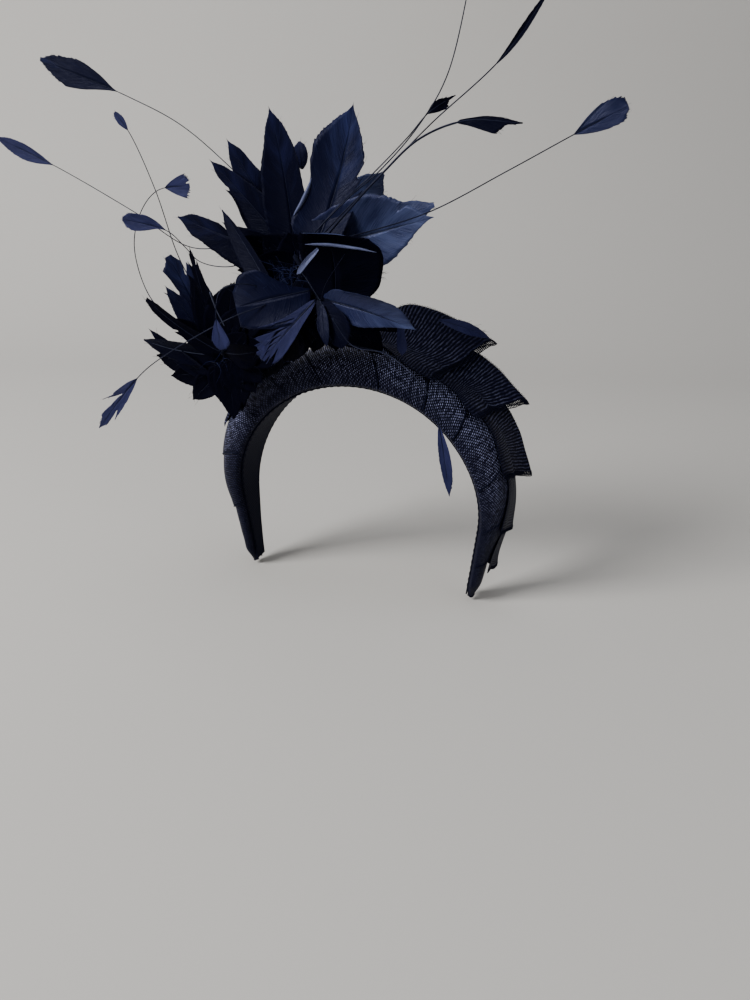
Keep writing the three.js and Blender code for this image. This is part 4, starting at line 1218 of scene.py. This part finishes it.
# How far the middle of a stalk's foot is from the padding: the braid, the base, the gaps between the layers and
# half of the foot.
FOOT_LIFT = 3.1 + 1.2 + 0.9 + 0.6
# The disc of thread at a stalk's foot: radius and height, from the middle of its top to the middle of its under
# side.
FOOT_PROFILE = ((0.2, 0.75), (4.5, 0.7), (5.7, 0.35), (6.0, 0), (5.7, -0.45), (3.0, -0.6), (0.2, -0.6))
FOOT_SIDES = 24
BINDING_HALF = 3.5


def foot_at(s):
    low, high = on_dome(s, 0.5, 0), on_dome(s, 0.5, 1)
    normal = (high - low).normalized()
    return low + normal * FOOT_LIFT, normal


def stalk(name, s, stem):
    foot, normal = foot_at(s)
    start = stem.at(0)
    wire = Route([foot, foot + normal * (foot - start).length * 0.4, start, stem.at(0.15)])
    parts = [tube([wire.at(t) for t in steps(60)], lambda t: 1.6 + 0.06 * math.sin(t * 140), 12)]
    parts.append(tube([stem.at(t) for t in steps(70)], lambda t: lerp(3.0, 1.1, smoothstep(t, 0.1, 0.6)), 14))
    ring = []
    across = normal.cross(Vector((0, 1, 0))).normalized()
    for radius, height in FOOT_PROFILE:
        for k in range(FOOT_SIDES):
            a = TAU * k / FOOT_SIDES
            out = across * math.cos(a) + Vector((0, 1, 0)) * math.sin(a)
            ring.append(foot + out * radius + normal * height)
    foot_faces = grid_faces(len(FOOT_PROFILE), FOOT_SIDES, wrap=True)
    parts.append((ring, foot_faces, [(p.x * 2, p.z) for p in ring]))
    make_joined(f"{name}_bound", parts, THREAD, replaces=[name])


def binding(name, centre, along, body):
    centre, along = Vector(centre), Vector(along).normalized()
    line = [centre + along * lerp(-BINDING_HALF, BINDING_HALF, t) for t in steps(40)]

    def radius(t):
        return (2.55 + 0.85 * math.sin(math.pi * t)) * (1 + 0.035 * math.sin(t * TAU * 11))

    make_joined(f"{name}_wound", [tube(line, radius, 16)], THREAD, body, [name])


# The patch that the flowers stand on: its ends along the band and round it, how far it stands off the padding
# at its edge and above that, and the share of it that the rounding of its edge takes.
BASE_ENDS = (-84, -34)
BASE_TURNS = (0.3, 0.7)
BASE_OFFSET = 3.75
BASE_RISE = 1.1
BASE_EDGE = 0.04


def base():
    rows, columns = 40, 28
    verts, uvs = [], []
    for t in steps(rows):
        for w in steps(columns):
            lift = BASE_RISE * min(min(t, 1 - t, w, 1 - w) / BASE_EDGE, 1) ** 0.5
            s, turn = lerp(*BASE_ENDS, t), lerp(*BASE_TURNS, w)
            verts.append(on_dome(s, turn, BASE_OFFSET + lift))
            uvs.append((s, turn * BRAID_ROUND))
    piece = make_piece("flower_base_cover", verts, grid_faces(rows + 1, columns + 1), BRAID_SOFT, uvs=uvs,
                       replaces=["flower_base"])


# ---- Camera, light and floor -------------------------------------------------------------------------------

CAMERA = Vector((134.1, -412.8, 102))
HEADING, PITCH, ROLL = 16.9, 22.2, 1.5
FOCAL = 27.18
SENSOR = 36
FLOOR = -130.5
FLOOR_ENDS = (-3000, 600)
CURVE = 500
CURVE_STEPS = 12
WALL_TOP = 3500
STAGE_SIDE = 4000


def camera():
    h, p, r = (math.radians(a) for a in (HEADING, PITCH, ROLL))
    forward = Vector((-math.sin(h) * math.cos(p), math.cos(h) * math.cos(p), -math.sin(p)))
    right = Vector((math.cos(h), math.sin(h), 0))
    up = right.cross(forward)
    right, up = right * math.cos(r) + up * math.sin(r), up * math.cos(r) - right * math.sin(r)
    data = bpy.data.cameras.new("camera")
    data.lens, data.sensor_width = FOCAL, SENSOR
    data.clip_start, data.clip_end = 0.01, 20
    cam = bpy.data.objects.new("camera", data)
    cam.matrix_world = Matrix.Translation(CAMERA * MM) @ Matrix((right, up, -forward)).transposed().to_4x4()
    bpy.context.scene.collection.objects.link(cam)
    bpy.context.scene.camera = cam


def plain(name, colour):
    n = Nodes(name)
    mottle = n.add("ShaderNodeTexNoise", Scale=3.0, Detail=2.0)
    dark = tuple(c * 0.97 for c in colour)
    return n.finish(n.ramp(mottle.outputs[0], [(0.3, dark), (0.7, colour)]), 0.9)


def stage():
    """A floor that curves up into a backdrop behind the object."""
    outline = [(end, FLOOR) for end in FLOOR_ENDS]
    for i in range(1, CURVE_STEPS + 1):
        a = math.pi / 2 * i / CURVE_STEPS
        outline.append((FLOOR_ENDS[1] + CURVE * math.sin(a), FLOOR + CURVE * (1 - math.cos(a))))
    outline.append((FLOOR_ENDS[1] + CURVE, WALL_TOP))
    h = math.radians(HEADING)
    depth, side = Vector((-math.sin(h), math.cos(h), 0)), Vector((math.cos(h), math.sin(h), 0))
    verts = [side * x + depth * d + Vector((0, 0, z)) for d, z in outline for x in (-STAGE_SIDE, STAGE_SIDE)]
    mesh = bpy.data.meshes.new("backdrop")
    mesh.from_pydata([v * MM for v in verts], [], grid_faces(len(outline), 2))
    mesh.polygons.foreach_set("use_smooth", [True] * len(mesh.polygons))
    mesh.materials.append(plain("pale_backdrop", (0.52, 0.505, 0.485)))
    floor = bpy.data.objects.new("backdrop", mesh)
    bpy.context.scene.collection.objects.link(floor)


def light(name, place, aim, size, power, colour):
    data = bpy.data.lights.new(name, "AREA")
    data.shape, data.size, data.size_y = "RECTANGLE", size[0], size[1]
    data.energy, data.color = power, colour
    lamp = bpy.data.objects.new(name, data)
    lamp.location = place
    lamp.rotation_mode = "QUATERNION"
    lamp.rotation_quaternion = (Vector(aim) - Vector(place)).to_track_quat("-Z", "Y")
    bpy.context.scene.collection.objects.link(lamp)


def lights():
    light("window", (-1.2, -1.2, 1.1), (-0.02, 0, 0.02), (0.8, 0.9), 62, (1.0, 0.99, 0.97))
    light("sky", (0.3, -0.1, 2.0), (0, 0, 0), (1.6, 1.6), 12, (0.95, 0.97, 1.0))
    light("fill", (1.6, -0.9, 0.5), (0, 0, 0), (1.0, 1.0), 2.5, (0.95, 0.97, 1.0))
    world = bpy.data.worlds.new("studio")
    world.use_nodes = True
    world.node_tree.nodes["Background"].inputs[0].default_value = (0.80, 0.83, 0.88, 1)
    world.node_tree.nodes["Background"].inputs[1].default_value = 0.16
    bpy.context.scene.world = world


camera()
stage()
lights()
headband()
braid_loops()
base()
stalk("large_flower_stalk", -46, LARGE_STEM)
stalk("small_flower_stalk", -72, SMALL_STEM)
binding("left_spray_binding", (-49, 3, 76), (-1, 0, 0.6), "left_spray")
binding("low_spray_binding", (-95, 6, 22), (-1, 0, 0.4), "root")
binding("right_spray_binding", (-14, -46, 75), (0.8, 0, 1), "right_spray")
flower("large", LARGE_STEM, LARGE_PETALS)
flower("small", SMALL_STEM, SMALL_PETALS)
trimmings()
quills()
